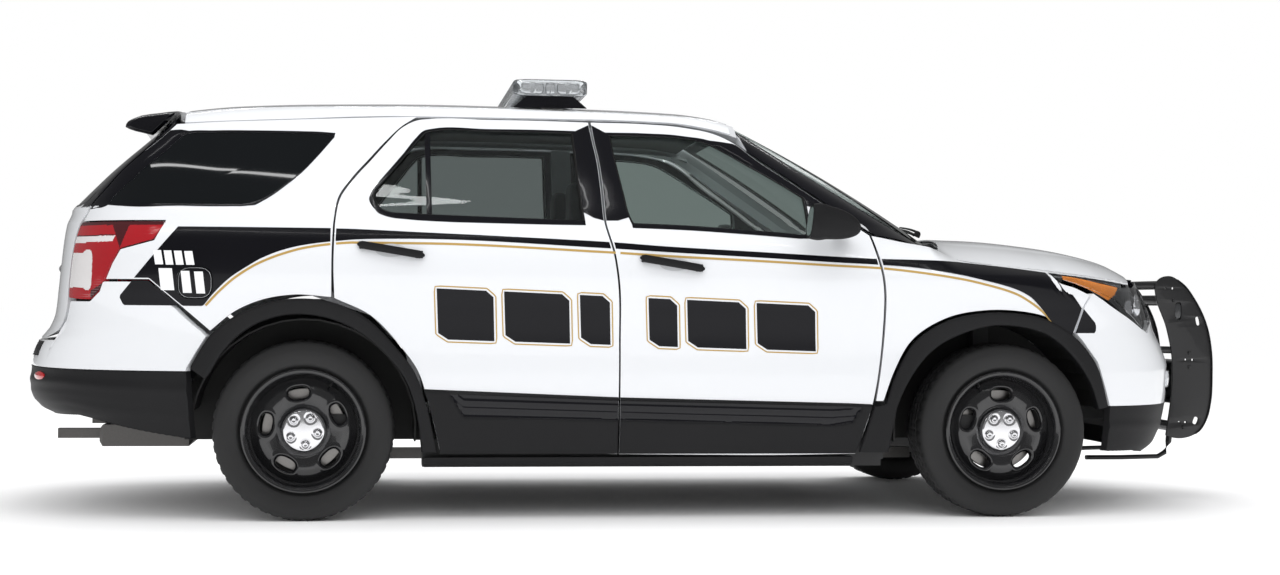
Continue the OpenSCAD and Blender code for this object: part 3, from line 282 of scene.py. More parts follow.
def trace(drawn, n, closed=True, sharp=38.0):
    """n points along each side of a drawn outline: rounded through gentle corners, straight up to sharp ones."""
    p = np.asarray(drawn, float)
    after, before = np.roll(p, -1, 0), np.roll(p, 1, 0)
    if not closed:
        after[-1], before[0] = 2*p[-1]-p[-2], 2*p[0]-p[1]
    a, b = p-before, after-p
    la, lb = np.linalg.norm(a, axis=1)[:, None], np.linalg.norm(b, axis=1)[:, None]
    ua, ub = a/la, b/lb
    blend = (ua*lb + ub*la)/(la+lb)
    hard = ((ua*ub).sum(1) < np.cos(np.radians(sharp)))[:, None]
    leave, arrive = np.where(hard, ub, blend), np.roll(np.where(hard, ua, blend), -1, 0)
    t = (np.arange(n)/n)[None, :, None]
    q = ((1+2*t)*(1-t)**2*p[:, None] + t*(1-t)**2*(lb*leave)[:, None] + t*t*(3-2*t)*after[:,
        None] + t*t*(t-1)*(lb*arrive)[:, None])
    q = q.reshape(-1, p.shape[1])
    return q if closed else np.concatenate([q[:(len(p)-1)*n], p[-1:]])

def spaced(drawn, n):
    """n+1 points evenly spaced along a smoothed open path."""
    p = trace(drawn, 12, closed=False, sharp=60)
    s = np.concatenate([[0], np.cumsum(np.linalg.norm(np.diff(p, axis=0), axis=1))])
    return np.stack([np.interp(np.linspace(0, s[-1], n+1), s, p[:, k]) for k in range(p.shape[1])], 1)

def cells(rows, cols, wrap_rows=False, wrap_cols=False):
    """Four-cornered faces over a grid of points."""
    i = np.arange(rows if wrap_rows else rows-1)[:, None]
    j = np.arange(cols if wrap_cols else cols-1)[None, :]
    a, b = i*cols + j, i*cols + (j+1) % cols
    c, d = ((i+1) % rows)*cols + (j+1) % cols, ((i+1) % rows)*cols + j
    return np.stack([a, b, c, d], -1).reshape(-1, 4)

def piece(name, mesh_points, faces, body, material, stands_for=(), slot=None, sharp=40, bevel=0.0, kinds=None,
    closed=True, out=None):
    """A mesh from points in millimetres. A closed one is turned the right way out by the sign of its
    volume, an open one by the direction out."""
    p = np.asarray(mesh_points, float).reshape(-1, 3)
    faces = [list(map(int, f)) for f in faces]
    tri = np.array([(f[0], f[k], f[k+1]) for f in faces for k in range(1, len(f)-1)])
    n = np.cross(p[tri[:, 1]]-p[tri[:, 0]], p[tri[:, 2]]-p[tri[:, 0]])
    way = (n*(p[tri[:, 0]] - p.mean(0))).sum() if out is None else (n @ np.asarray(out, float)).sum()
    if way < 0:
        faces = [f[::-1] for f in faces]
    m = bpy.data.meshes.new(name)
    m.from_pydata((p*0.001).tolist(), [], faces)
    materials = material if isinstance(material, (list, tuple)) else [material]
    for k in materials:
        m.materials.append(k)
    m.polygons.foreach_set("use_smooth", np.ones(len(faces), bool))
    if kinds is not None:
        m.polygons.foreach_set("material_index", np.asarray(kinds, np.int32))
    m.update()
    m.set_sharp_from_angle(angle=np.radians(sharp))
    o = bpy.data.objects.new(name, m)
    bpy.context.collection.objects.link(o)
    if bevel:
        b = o.modifiers.new("edge", "BEVEL")
        b.width, b.segments, b.limit_method = bevel*0.001, 2, "ANGLE"
        b.angle_limit, b.harden_normals = np.radians(sharp), True
    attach(o, body)
    if stands_for:
        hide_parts(*([stands_for] if isinstance(stands_for, str) else stands_for))
    return o

def shell(name, outer, inner, body, material, wrap=False, **more):
    """Closed skin between two grids of points; wrap closes the columns into a ring."""
    rows, cols = outer.shape[:2]
    both = np.concatenate([outer, inner[::-1]])
    faces = cells(2*rows, cols, wrap_rows=True, wrap_cols=wrap)
    if not wrap:
        i = np.arange(rows-1)
        edge = lambda j: np.stack([i*cols+j, (i+1)*cols+j, (2*rows-2-i)*cols+j, (2*rows-1-i)*cols+j], 1)
        faces = np.concatenate([faces, edge(0)[:, ::-1], edge(cols-1)])
    return piece(name, both, faces, body, material, **more)

def loft(name, loops, body, material, **more):
    """Solid through a row of loops, closed with a flat face at both ends."""
    rows, cols = loops.shape[:2]
    faces = cells(rows, cols, wrap_cols=True).tolist()
    faces += [list(range(cols))[::-1], list(range((rows-1)*cols, rows*cols))]
    return piece(name, loops, faces, body, material, **more)

def on_flank(x, z, s, depth=0.0):
    """Points on side s of the car (1 left, -1 right), depth below the skin."""
    return points(x, s*(flank(x, z)-depth), z)

def ring_rows(opening, outline, t, s, depth=0.0, share=1.0):
    """Rows of a ring-shaped panel from its opening (t 0) to its outline (t 1), laid on the flank."""
    q = opening[None] + (outline-opening)[None]*(np.asarray(t)[:, None]*share)[..., None]
    x, z = q[..., 0], q[..., 1]
    return on_flank(x, z, s, depth(z) if callable(depth) else depth)

def flank_shell(name, x, z, s, outer, inner, body, material, **more):
    """Closed skin on side s between two depths below the body's surface."""
    return shell(name, on_flank(x, z, s, outer), on_flank(x, z, s, inner), body, material, **more)

SIDES = (("left", 1), ("right", -1))

# ---- Doors: a pressed outer skin hemmed round a deep inner box, a thin frame round the
# ---- window, a grained trim card inside and a lift-up handle outside. Two on each side.
FRONT_OUT = [[-171,262],[150,259],[470,257],[808,262],[868,452],[894,592],[912,785],[911,936],[891,1054],[866,1160],
    [700,1280],[560,1375],[400,1484],[345,1530],[255,1578],[120,1607],[-60,1620],[-273,1622],[-262,1540],[-248,1464],
    [-234,1320],[-226,1190],[-196,1072],[-178,953],[-171,700],[-171,450]]
FRONT_IN = [[-120,1196],[80,1190],[330,1176],[560,1160],[600,1157],[612,1168],[614,1200],[613,1240],[610,1280],
    [604,1316],[545,1352],[475,1394],[376,1450],[291,1500],[190,1548],[90,1564],[-40,1569],[-200,1569],[-190,1500],
    [-175,1420],[-155,1320],[-134,1225],[-127,1208],[-124,1202],[-122,1199],[-121,1197]]
REAR_OUT = [[-178,262],[-400,266],[-650,272],[-893,280],[-916,380],[-941,472],[-984,600],[-1056,699],[-1172,817],
    [-1313,884],[-1318,1000],[-1316,1120],[-1312,1205],[-1296,1283],[-1242,1365],[-1178,1440],[-1112,1518],
    [-1045,1588],[-990,1616],[-935,1624],[-700,1625],[-480,1625],[-284,1622],[-270,1540],[-256,1464],[-243,1320],
    [-234,1190],[-204,1072],[-186,953],[-178,700],[-178,450]]
REAR_IN = [[-315,1205],[-450,1208],[-640,1213],[-830,1218],[-930,1221],[-985,1223],[-1040,1225],[-1085,1227],
    [-1112,1231],[-1135,1241],[-1152,1256],[-1162,1273],[-1166,1292],[-1158,1315],[-1137,1345],[-1085,1410],
    [-1035,1472],[-985,1535],[-955,1566],[-925,1574],[-700,1577],[-500,1578],[-350,1576],[-343,1500],[-337,1420],
    [-328,1320],[-320,1245],[-317,1220],[-316,1212],[-315.6,1209],[-315.2,1207]]
DOOR_DEPTH = [[255,52],[300,60],[360,108],[1020,108],[1150,80],[1200,56],[1250,40],[1700,40]]
# share of the frame that the black gloss cover takes, from one drawn point to the next
FRONT_BLACK = [[0,.02],[8.2,.02],[9.0,.3],[9.4,1],[13.2,1],[13.9,.34],[14.6,.22],[17,.22],[17.05,1],[20.9,1],
    [21.1,.02],[26,.02]]
REAR_BLACK = [[0,.02],[10,.05],[12,.11],[16,.11],[17.4,.16],[22,.18],[22.05,1],[25.9,1],[26.1,.02],[31,.02]]
side_glass = finish("green_tinted_glass", (0.80, 0.90, 0.87), 0.0, 0, 10, 0, 0, Transmission_Weight=1.0, IOR=1.30)
rear_glass = finish("grey_tinted_glass", (0.66, 0.72, 0.71), 0.0, 0, 10, 0, 0, Transmission_Weight=1.0, IOR=1.30)
door_card = finish("door_card_vinyl", (0.035, 0.035, 0.038), 0.55, 0.1, 1400, 0.25, 0.0002)
T_OUT = np.linspace(0, 1, 28)**1.5

def pane(name, opening, s, body, material, cad, depth, inset=2.0, thick=5.0, skin=flank):
    """Glass that fills an opening: rings drawn in to its middle, set depth below the skin."""
    c = opening.mean(0)
    away = opening - c
    rim = opening - away/np.linalg.norm(away, axis=1)[:, None]*inset
    t = np.concatenate([[1], np.linspace(0.96, 0.06, 10), [0.002]])
    q = c + (rim-c)[None]*t[:, None, None]
    front, back = (points(q[..., 0], s*(skin(q[..., 0], q[..., 1])-d), q[..., 1]) for d in (depth, depth+thick))
    return loft(name, np.concatenate([front[::-1], back]), body, material, stands_for=cad)

def squarish(a, power):
    """Radius against angle of a circle swelled towards a square: |cos| and |sin| to the power,
    summed, to the power -1/power."""
    return (np.abs(np.cos(a))**power + np.abs(np.sin(a))**power)**(-1/power)

def bar_loop(centre, size, power=3.0, n=20):
    """Loop of a rounded bar at each centre: sizes across y and z, squareness by the power."""
    a = np.linspace(0, 2*np.pi, n, endpoint=False)
    u, v = squarish(a, power)*np.cos(a), squarish(a, power)*np.sin(a)
    centre, size = np.asarray(centre, float), np.asarray(size, float)
    return points(centre[:, None, 0], centre[:, None, 1]+size[:, None, 0]*u, centre[:, None, 2]+size[:, None, 1]*v)

for side, s in SIDES:
    for which, outline, opening, black, middle, shrink, ends, low in (("front", FRONT_OUT, FRONT_IN, FRONT_BLACK,
        (330, 860), (0.04, 0.025), (-99, 165), 1056), ("rear", REAR_OUT, REAR_IN, REAR_BLACK, (-700, 900),
        (0.045, 0.025), (-1226, -960), 1098)):
        door = f"door_{which}_{side}"
        out, hole = trace(outline, 8), trace(opening, 8)
        inner = out + (np.array(middle)-out)*np.array(shrink)
        depth = lambda z: lin(z, DOOR_DEPTH)
        shell(f"{door}_skin", ring_rows(hole, out, T_OUT, s), ring_rows(hole, inner, T_OUT, s, depth), door,
            white_paint, wrap=True, stands_for=door, bevel=2.2)
        card_rows = 0.03 + 0.83*T_OUT[::3]
        shell(f"{door}_card", ring_rows(hole, inner, card_rows, s, lambda z: depth(z)-1),
            ring_rows(hole, inner, card_rows, s, lambda z: depth(z)+4+14*np.exp(-((z-760)/60)**2)), door, door_card,
            wrap=True, bevel=1.5)
        share = lin(np.arange(len(out))/8, black)
        rows = np.array([0, .04, .5, .96, 1])
        rise = np.array([0.4, 1.6, 1.8, 1.6, 0.4])[:, None]
        shell(f"{door}_window_cover", ring_rows(hole, out, rows*0.985, s, -rise, share),
            ring_rows(hole, out, rows*0.985, s, 0*rise+0.2, share), door, gloss_black, wrap=True)
        pane(f"glass_{which}_{side}_pane", hole, s, door, side_glass if which == "front" else rear_glass,
            f"glass_{which}_{side}", 16)
        # soft seal that the glass runs in
        turn_in = lambda f, d: points(hole[:, 0]+(hole.mean(0)-hole)[:, 0]*f, s*(flank(hole[:, 0], hole[:, 1])-d),
            hole[:, 1]+(hole.mean(0)-hole)[:, 1]*f)
        shell(f"glass_{which}_{side}_seal", np.stack([turn_in(-.002, 1), turn_in(.012, 3), turn_in(.02, 9)]),
            np.stack([turn_in(-.004, 14), turn_in(.006, 14), turn_in(.016, 14)]), door, rubber, wrap=True)
        # handle: a bowed grip on two feet, with the hand's cup pressed in behind it
        x = np.linspace(ends[0], ends[1], 28)
        w = (x-x[0])/(x[-1]-x[0])
        z = low + (x[0]-x)*0.16
        out_y = flank(x, z) + 12 + 16*(4*w*(1-w))**0.6
        fat = np.clip(np.minimum(w, 1-w)/0.07, 0.05, 1)**0.5
        loft(f"{door}_handle", bar_loop(np.stack([x, s*out_y, z], 1), np.stack([11*fat, 16*fat], 1)), door,
            trim_black)
        for k, xf in enumerate((ends[0]+22, ends[1]-22)):
            zf = low + (ends[0]-xf)*0.16
            yf = float(flank(xf, zf))
            loft(f"{door}_handle_foot_{k}", bar_loop([[xf-15, s*(yf+7), zf], [xf-13, s*(yf+7), zf],
                [xf+13, s*(yf+7), zf], [xf+15, s*(yf+7), zf]], [[8, 12], [10, 15], [10, 15], [8, 12]]), door,
                trim_black)
        a = np.linspace(0, 2*np.pi, 40, endpoint=False)
        xm = (ends[0]+ends[1])/2 + (10 if which == "front" else 0)
        zm = low - (xm-ends[0])*0.16 - 2
        cup = [np.stack([xm+62*f*np.cos(a), zm+27*f*np.sin(a)], 1) for f in (1.0, .93, .8, .5, .03)]
        sunk = [0.6, 0.9, 0.5, 0.3, 0.2]
        # The cup takes the grey copy of the white paint: painted shade in the recess behind the grip.
        loft(f"{door}_handle_cup", np.stack([on_flank(c[:, 0], c[:, 1], s, -d) for c, d in zip(cup, sunk)]
            + [on_flank(cup[-1][:, 0], cup[-1][:, 1], s, 1)]), door, white_in_painted_shade)
    # upright bar that divides the rear door's glass
    z = np.linspace(1222, 1573, 24)
    xb = lin(z, [[1220,-941],[1575,-949]])
    face = lambda d, off: np.stack(
        [on_flank(xb+off, z, s, d), on_flank(xb, z, s, d-1.5), on_flank(xb-off, z, s, d)], 1)
    shell(f"glass_rear_{side}_divider", face(5, 11), face(14.5, 11), f"door_rear_{side}", gloss_black)

# ---- Lower door cladding: moulded black plastic over the foot of each door, with a gloss
# ---- channel let into it that fades out towards both wheels.
CLAD_TOP = [[-974,525],[-170,493],[765,471],[880,466]]
CHANNEL_LOW = [[-871,519],[-802,409],[-174,396],[705,374],[790,388],[840,462]]
def cladding(x, z):
    """Height of the cladding over the skin: a rounded edge, a flat face and the sunken channel."""
    top = lin(x, CLAD_TOP)
    edge = np.clip((top-z)/9, 0, 1)**0.5*np.clip((z-262)/14, 0, 1)**0.5
    low, high = lin(x, CHANNEL_LOW), top-9
    inside = np.clip((z-low)/9, 0, 1)*np.clip((high-z)/5, 0, 1)*np.clip((x+868)/16, 0, 1)*np.clip((838-x)/16, 0, 1)
    rib = 2.2*np.exp(-((z-(low+high)/2-18)/5)**2) + 1.8*np.exp(-((z-(low+high)/2+12)/4)**2)
    return 10*edge - inside*(7.5-rib)
for side, s in SIDES:
    for which, left, right in (("front", [[262,-171],[500,-171]], [[262,808],[452,868],[500,876]]),
        ("rear", [[280,-893],[380,-916],[472,-941],[530,-962]], [[262,-178],[530,-178]])):
        along, up = 120, 48
        u, v = np.meshgrid(np.linspace(0, 1, along), np.linspace(0, 1, up), indexing="ij")
        x = -500 + 0*u if which == "rear" else 300 + 0*u
        for _ in range(4):
            z = 263 + (lin(x, CLAD_TOP)-263)*v
            x = lin(z, left)+0.5 + (lin(z, right)-lin(z, left)-1)*u
        rise = cladding(x, z)*np.clip(np.minimum(u, 1-u)*200, 0.6, 1)
        low, high = lin(x, CHANNEL_LOW)+4, lin(x, CLAD_TOP)-11
        inside = (z > low) & (z < high) & (x > -862) & (x < 832)
        c = inside[:-1, :-1] & inside[1:, 1:]
        kinds = np.concatenate([c.ravel().astype(int), np.zeros(2*along*(up-1)-c.size+2*(along-1), int)])
        flank_shell(f"door_{which}_{side}_cladding", x, z, s, -rise, 0.5, f"door_{which}_{side}",
            [trim_black, gloss_black], kinds=kinds)

# ---- Fenders and quarter panels: pressed steel, the quarters carrying the rear side glass,
# ---- which is bonded in with a black border that runs on over the rear pillar.
def coons(bottom, top, left, right, n, m):
    """Grid that fills four edge paths: the blend of both pairs less the blend of the corners."""
    b, t, l, r = (spaced(e, k) for e, k in ((bottom, n), (top, n), (left, m), (right, m)))
    u, v = np.linspace(0, 1, n+1)[:, None, None], np.linspace(0, 1, m+1)[None, :, None]
    return (1-v)*b[:, None]+v*t[:, None]+(1-u)*l[None]+u*r[None]-((1-u)*(1-v)*b[0]+u*(1-v)*b[-1]+(1-u)*v*t[0]
        +u*v*t[-1])
FENDER = coons([[887,480],[917,480],[960,600],[1037,732],[1173,820],[1348,856],[1459,856],[1632,823],[1736,765]],
    [[876,1158],[1000,1137],[1174,1103],[1259,1064],[1450,1042],[1636,1022]],
    [[887,480],[904,592],[922,785],[921,936],[901,1054],[876,1158]],
    [[1736,765],[1774,868],[1808,921],[1737,951],[1664,976],[1636,1022]], 110, 60)

def zone(o, rule):
    """Gives each face its material by where its middle lies: rule takes x, y, z in millimetres and
    returns slot numbers, or -1 to leave it."""
    faces = o.data.polygons
    c, kinds = np.zeros(len(faces)*3), np.zeros(len(faces), np.int32)
    faces.foreach_get("center", c)
    faces.foreach_get("material_index", kinds)
    new = rule(*(c.reshape(-1, 3)*1000).T)
    faces.foreach_set("material_index", np.where(new >= 0, new, kinds).astype(np.int32))

def cut_out(o, outline, y0, y1):
    """Takes a prism, whose outline is in x and z, out of a piece for good."""
    n = len(outline)
    loops = np.stack([np.stack([outline[:, 0], y+0*outline[:, 0], outline[:, 1]], 1) for y in (y0, y1)])
    m = bpy.data.meshes.new("cutter")
    f = cells(2, n, wrap_cols=True).tolist()+[list(range(n))[::-1], list(range(n, 2*n))]
    m.from_pydata((loops.reshape(-1, 3)*.001).tolist(), [], f)
    volume = bmesh.new()
    volume.from_mesh(m)
    bmesh.ops.recalc_face_normals(volume, faces=volume.faces)
    volume.to_mesh(m)
    volume.free()
    tool = bpy.data.objects.new("cutter", m)
    bpy.context.collection.objects.link(tool)
    finishing = [(k, k.show_viewport) for k in o.modifiers]
    for k, _ in finishing:
        k.show_viewport = False
    cut = o.modifiers.new("cut", "BOOLEAN")
    cut.object, cut.operation, cut.solver = tool, "DIFFERENCE", "EXACT"
    bpy.context.view_layer.update()
    done = bpy.data.meshes.new_from_object(o.evaluated_get(bpy.context.evaluated_depsgraph_get()))
    o.modifiers.remove(cut)
    old, o.data = o.data, done
    bpy.data.meshes.remove(old)
    for k, shown in finishing:
        k.show_viewport = shown
    bpy.data.objects.remove(tool)
    bpy.data.meshes.remove(m)

QUARTER_OUT = [[-1326,888],[-1473,896],[-1586,878],[-1698,830],[-1795,752],[-1896,838],[-2034,952],[-2214,952],
    [-2226,985],[-2235,1030],[-2262,1080],[-2290,1130],[-2310,1165],[-2324,1189],[-2300,1240],[-2228,1320],
    [-2160,1395],[-2090,1460],[-2020,1520],[-1955,1583],[-1800,1594],[-1600,1604],[-1400,1614],[-1200,1624],
    [-990,1632],[-1050,1592],[-1120,1522],[-1186,1446],[-1250,1371],[-1303,1290],[-1320,1200],[-1325,1100]]
QUARTER_IN = [[-1640,1262],[-1660,1258],[-1680,1255],[-1720,1254],[-1780,1253],[-1850,1253],[-1920,1253],[-1980,1253],
    [-2030,1253],[-2080,1253],[-2120,1254],[-2155,1255],[-2185,1256],[-2215,1258],[-2205,1275],[-2160,1320],
    [-2110,1368],[-2060,1415],[-2000,1465],[-1920,1538],[-1800,1548],[-1650,1551],[-1500,1552],[-1400,1552],
    [-1345,1550],[-1338,1535],[-1372,1490],[-1412,1440],[-1462,1384],[-1520,1334],[-1575,1293],[-1610,1273]]
QUARTER_BLACK = [[0,.03],[4,.018],[7,.03],[12.8,.1],[13.6,.6],[13.9,1],[18.6,1],[19.2,.25],[24,.07],[25,.05],[31,.03],
    [32,.03]]
LAMP_NOTCH = [[-2420,1187],[-1975,1187],[-2017,1105],[-2102,1082],[-2151,1069],[-2183,1013],[-2228,907],[-2262,850],
    [-2420,850]]
FLAP = (-1855, 939, 64, 59)
def flap_loop(grow, n=72):
    """Rounded outline of the fuel door, grown by a share of its size."""
    b = np.linspace(0, 2*np.pi, n, endpoint=False)
    k = squarish(b, 3.2)*grow
    return np.stack([FLAP[0]+FLAP[2]*k*np.cos(b), FLAP[1]+FLAP[3]*k*np.sin(b)], 1)
privacy_glass = finish("privacy_glass", (0.003, 0.004, 0.005), 0.04, 0.02, 60, 0.1, 0.000002, Coat_Weight=0.25,
    Coat_Roughness=0.0, Specular_IOR_Level=0.3)
for side, s in SIDES:
    x, z = FENDER[..., 0], FENDER[..., 1]
    flank_shell(f"front_fender_{side}_skin", x, z, s, 0.0,
        np.where(np.arange(x.shape[1]) >= x.shape[1]-6, 5, 20)[None, :] + 0*x, "body", white_paint,
        stands_for=f"front_fender_{side}", bevel=2.2)
    out, hole = trace(QUARTER_OUT, 10), trace(QUARTER_IN, 10)
    depth = lambda z: lin(z, [[700,20],[1190,20],[1240,13],[1700,13]])
    quarter = shell(f"quarter_panel_{side}_skin", ring_rows(hole, out, np.linspace(0, 1, 28)**1.3, s),
        ring_rows(hole, out, np.linspace(0, 1, 28)**1.3, s, depth), "body", [white_paint, gloss_black], wrap=True,
        stands_for=f"quarter_panel_{side}", bevel=2.0)
    cut_out(quarter, np.array(LAMP_NOTCH, float), s*400, s*1150)
    if side == "right":
        cut_out(quarter, flap_loop(1.085), -700, -1150)
    zone(quarter, lambda x, y, z:
        np.where((z > 1247) & (x < lin(z, [[1245,-2232],[1521,-2040],[1583,-1972]])), 1, -1))
    share = lin(np.arange(len(out))/10, QUARTER_BLACK)
    rows = np.array([0, .03, .5, .97, 1])
    rise = np.array([0.3, 1.2, 1.4, 1.2, 0.3])[:, None]
    shell(f"quarter_glass_{side}_border", ring_rows(hole, out, rows*0.99, s, -rise, share),
        ring_rows(hole, out, rows*0.99, s, 0*rise+0.2, share), "body", gloss_black, wrap=True)
    pane(f"quarter_glass_{side}_pane", hole, s, "body", privacy_glass, "quarter_glass", 1.5, inset=0.5)

# ---- Wheel arch trims: moulded flares pushed over the edge of each wheel opening.
ARCHES = {"front": ([[822,268],[878,458],[926,464],[971,593],[1047,722],[1179,809],[1348,845],[1459,845],[1628,812],
    [1752,737],[1834,639],[1898,455]], [[948,268],[964,380],[979,464],[1017,550],[1127,690],[1292,772],[1380,791],
    [1460,791],[1629,747],[1742,650],[1810,552],[1851,444]]),
    "rear": ([[-904,272],[-953,478],[-999,597],[-1070,689],[-1186,804],[-1324,868],[-1473,880],[-1586,861],
    [-1698,811],[-1797,730],[-1840,664],[-1872,604]], [[-965,272],[-990,440],[-1032,560],[-1122,672],[-1243,765],
    [-1381,812],[-1517,812],[-1642,764],[-1742,671],[-1785,600],[-1800,575],[-1812,562]])}
across = np.array([0, .02, .07, .2, .5, .8, .93, .985, 1])
lift = np.array([1.5, 7.5, 10.5, 11.5, 11.8, 11.5, 10, 6, 0])
back = np.array([3, 9, 14, 20, 27, 34, 39, 42, 46])
for side, s in SIDES:
    for which, (outer, inner) in ARCHES.items():
        o, c = spaced(outer, 90), spaced(inner, 90)
        q = o[:, None] + (c-o)[:, None]*across[None, :, None]
        flank_shell(f"wheel_arch_trim_{which}_{side}", q[..., 0], q[..., 1], s, -lift, back, "body", trim_black,
            stands_for="wheel_arch_trim" if side == "left" and which == "front" else (), sharp=50)

    for which, x0, wall, reach in (("front", 1430, 540, 442), ("rear", -1430, 606, 496)):
        a = np.radians(np.linspace(-32, 212, 60))[None, :]
        r = np.linspace(60, reach, 8)[:, None]
        disc = lambda y: points(x0+r*np.cos(a), s*y, np.maximum(357+r*np.sin(a), 300))
        shell(f"wheel_well_wall_{which}_{side}", disc(wall), disc(wall-4), "body", rubber)

# ---- Roof: one pressing with two faint swages, a drip rail over the doors on each side
# ---- and a gloss black cover on each pillar beside the windshield.
CROWN = 133e-6      # fall of the roof from its middle, per millimetre across, squared
def roof_z(x, y):
    """Height of the roof: the middle line less a crown across the car, with shallow swages."""
    u = np.abs(y)/smooth(x, ROOF_HALF)
    swage = 2.5*(np.exp(-((u-.42)/.05)**2) + np.exp(-((u-.74)/.05)**2))*np.clip((x+1850)/200, 0,
        1)*np.clip((230-x)/200, 0, 1)
    return smooth(x, ROOF_TOP) - CROWN*y*y - swage
i, u = np.meshgrid(np.linspace(0, 1, 81), np.linspace(-1, 1, 81), indexing="ij")
x = -1925 + (352-46*u*u+1925)*i
y = u*smooth(x, ROOF_HALF)
roof = points(x, y, roof_z(x, y))
shell("roof_skin", roof, roof - [0, 0, 20], "body", white_paint, stands_for="roof_panel", bevel=2.0)
headliner = finish("headliner_felt", (0.06, 0.06, 0.062), 0.9, 0.05, 1500, 0.3, 0.0004, Sheen_Weight=0.3)
inside = points(x*0.985-12, y*0.97, roof_z(x, y)-30)
inside = inside[::4, ::4]
shell("roof_headliner", inside, inside - [0, 0, 6], "body", headliner)
for side, s in SIDES:
    x = np.linspace(-1922, 312, 120)
    t = np.linspace(0, 1, 9)
    yo, zo = smooth(x, ROOF_HALF)+2, smooth(x, ROOF_TOP) - CROWN*smooth(x, ROOF_HALF)**2
    zb = smooth(x, RAIL)
    yb = flank(x, zb)
    bow = 6*np.sin(np.pi*t)[None, :]
    grid = lambda d: points(x[:, None], s*(yo[:, None]+(yb-yo)[:, None]*t+bow+1.2-d),
        zo[:, None]+(zb-zo)[:, None]*t+bow+0.8-d*.7)
    shell(f"roof_rail_{side}", grid(0), grid(9), "body", white_paint, bevel=1.0)
    t = np.linspace(-0.01, 0.985, 60)[:, None]
    v = np.linspace(0.03, 0.985, 12)[None, :]
    wx, wy, wz = 1128-806*t, 803-187*t, 1112+510*t
    dx, dz = 885-513*t, 1164+350*t
    dy = flank(dx, dz)
    hump = np.sin(np.pi*v)**0.8
    grid = lambda d: points(wx+(dx-wx)*v, s*(wy+(dy-wy)*v+15*hump+1.6-d), wz+(dz-wz)*v+9*hump+1.0-d*.6)
    shell(f"windshield_pillar_{side}", grid(0), grid(9), "body", gloss_black, bevel=1.0)
# The built body sides take the grey copy of the white paint: painted shade in the jambs and gaps, near black low
# down.
for node in ("body_side_left", "body_side_right"):
    frame["nodes"][node].data.materials.clear()
    frame["nodes"][node].data.materials.append(shade_grey_sides)

# ---- Windshield, cowl and wipers: laminated glass with a black fired border, a slatted
# ---- plastic cowl below it, and two arms parked on the cowl.
def screen(v, u, d=0.0):
    """Windshield point: v from foot to head, u across, d below the outside. The glass bulges by
    20 mm in its middle."""
    foot = points(1245-120*u*u, 790*u, 1168-50*u*u)
    head = points(370-48*u*u, 604*u, 1660-34*u*u)
    k = (80*v*(1-v)-d)[..., None]
    return foot + (head-foot)*v[..., None] + k*np.array([0.48, 0, 0.88])
v, u = np.meshgrid(np.linspace(0, 1, 50), np.linspace(-1, 1, 60), indexing="ij")
shell("windshield_glass", screen(v, u), screen(v, u, 5.0), "body", side_glass, stands_for="windshield")
hole_v, hole_u = trace([[.07,-.93],[.07,0],[.07,.93],[.5,.935],[.94,.93],[.94,0],[.94,-.93],[.5,-.935]], 14,
    sharp=60).T
edge_v, edge_u = trace([[.002,-.997],[.002,0],[.002,.997],[.5,.997],[.998,.997],[.998,0],[.998,-.997],[.5,-.997]], 14,
    sharp=60).T
t = np.linspace(0, 1, 5)[:, None]
bv, bu = hole_v+(edge_v-hole_v)*t, hole_u+(edge_u-hole_u)*t
shell("windshield_border", screen(bv, bu, 5.4), screen(bv, bu, 6.0), "body", gloss_black, wrap=True)
i, u = np.meshgrid(np.linspace(0, 1, 26), np.linspace(-1, 1, 90), indexing="ij")
slats = 2.4*np.sin(u*190)*np.exp(-((i-.55)/.25)**4)
cowl = points(1222-122*u*u+(87-16*u*u)*i, 770*u, 1146.5-46*u*u-10*i+slats)
shell("cowl_grille", cowl, cowl-[0, 0, 20], "body", trim_black, stands_for="cowl")

def sweep(name, path, radius, body, material, n=14, squash=(1, 1), **more):
    """Round bar along a path of points in millimetres; radius may change along it."""
    p = np.asarray(path, float)
    d = unit(np.gradient(p, axis=0))
    up = np.where(np.abs(d[:, 2:]) > 0.95, [[1.0, 0, 0]], [[0, 0, 1.0]])
    a = unit(np.cross(d, up))
    b = np.cross(a, d)
    w = np.linspace(0, 2*np.pi, n, endpoint=False)
    r = np.broadcast_to(np.asarray(radius, float), (len(p),))[:, None, None]
    loops = p[:, None] + r*(np.cos(w)[None, :, None]*a[:, None]*squash[0] + np.sin(w)[None, :, None]*b[:,
        None]*squash[1])
    return loft(name, loops, body, material, **more)

for k, (hub, tip) in enumerate(((-520, 60), (120, 640))):
    t = np.linspace(0, 1, 40)
    blade = screen(0.040+0.045*t, (hub+(tip-hub)*t)/790, -12+0*t)
    sweep(f"wiper_blade_{k}", blade, 5.5, "body", rubber, squash=(.7, 1.3),
        **({"stands_for": "wipers"} if k == 0 else {}))
    arm = screen(0.028+0.03*(1-t), (tip+(hub-tip)*(.35+.65*t))/790, -30+0*t)
    sweep(f"wiper_arm_{k}", arm, 7-2.5*(1-t), "body", trim_black, squash=(1.2, .8))
    sweep(f"wiper_pivot_{k}", [arm[-1]-[8, 0, 16], arm[-1]-[4, 0, 8], arm[-1], arm[-1]+[3, 0, 6]], [15, 15, 13, 7],
        "body", trim_black, n=20)

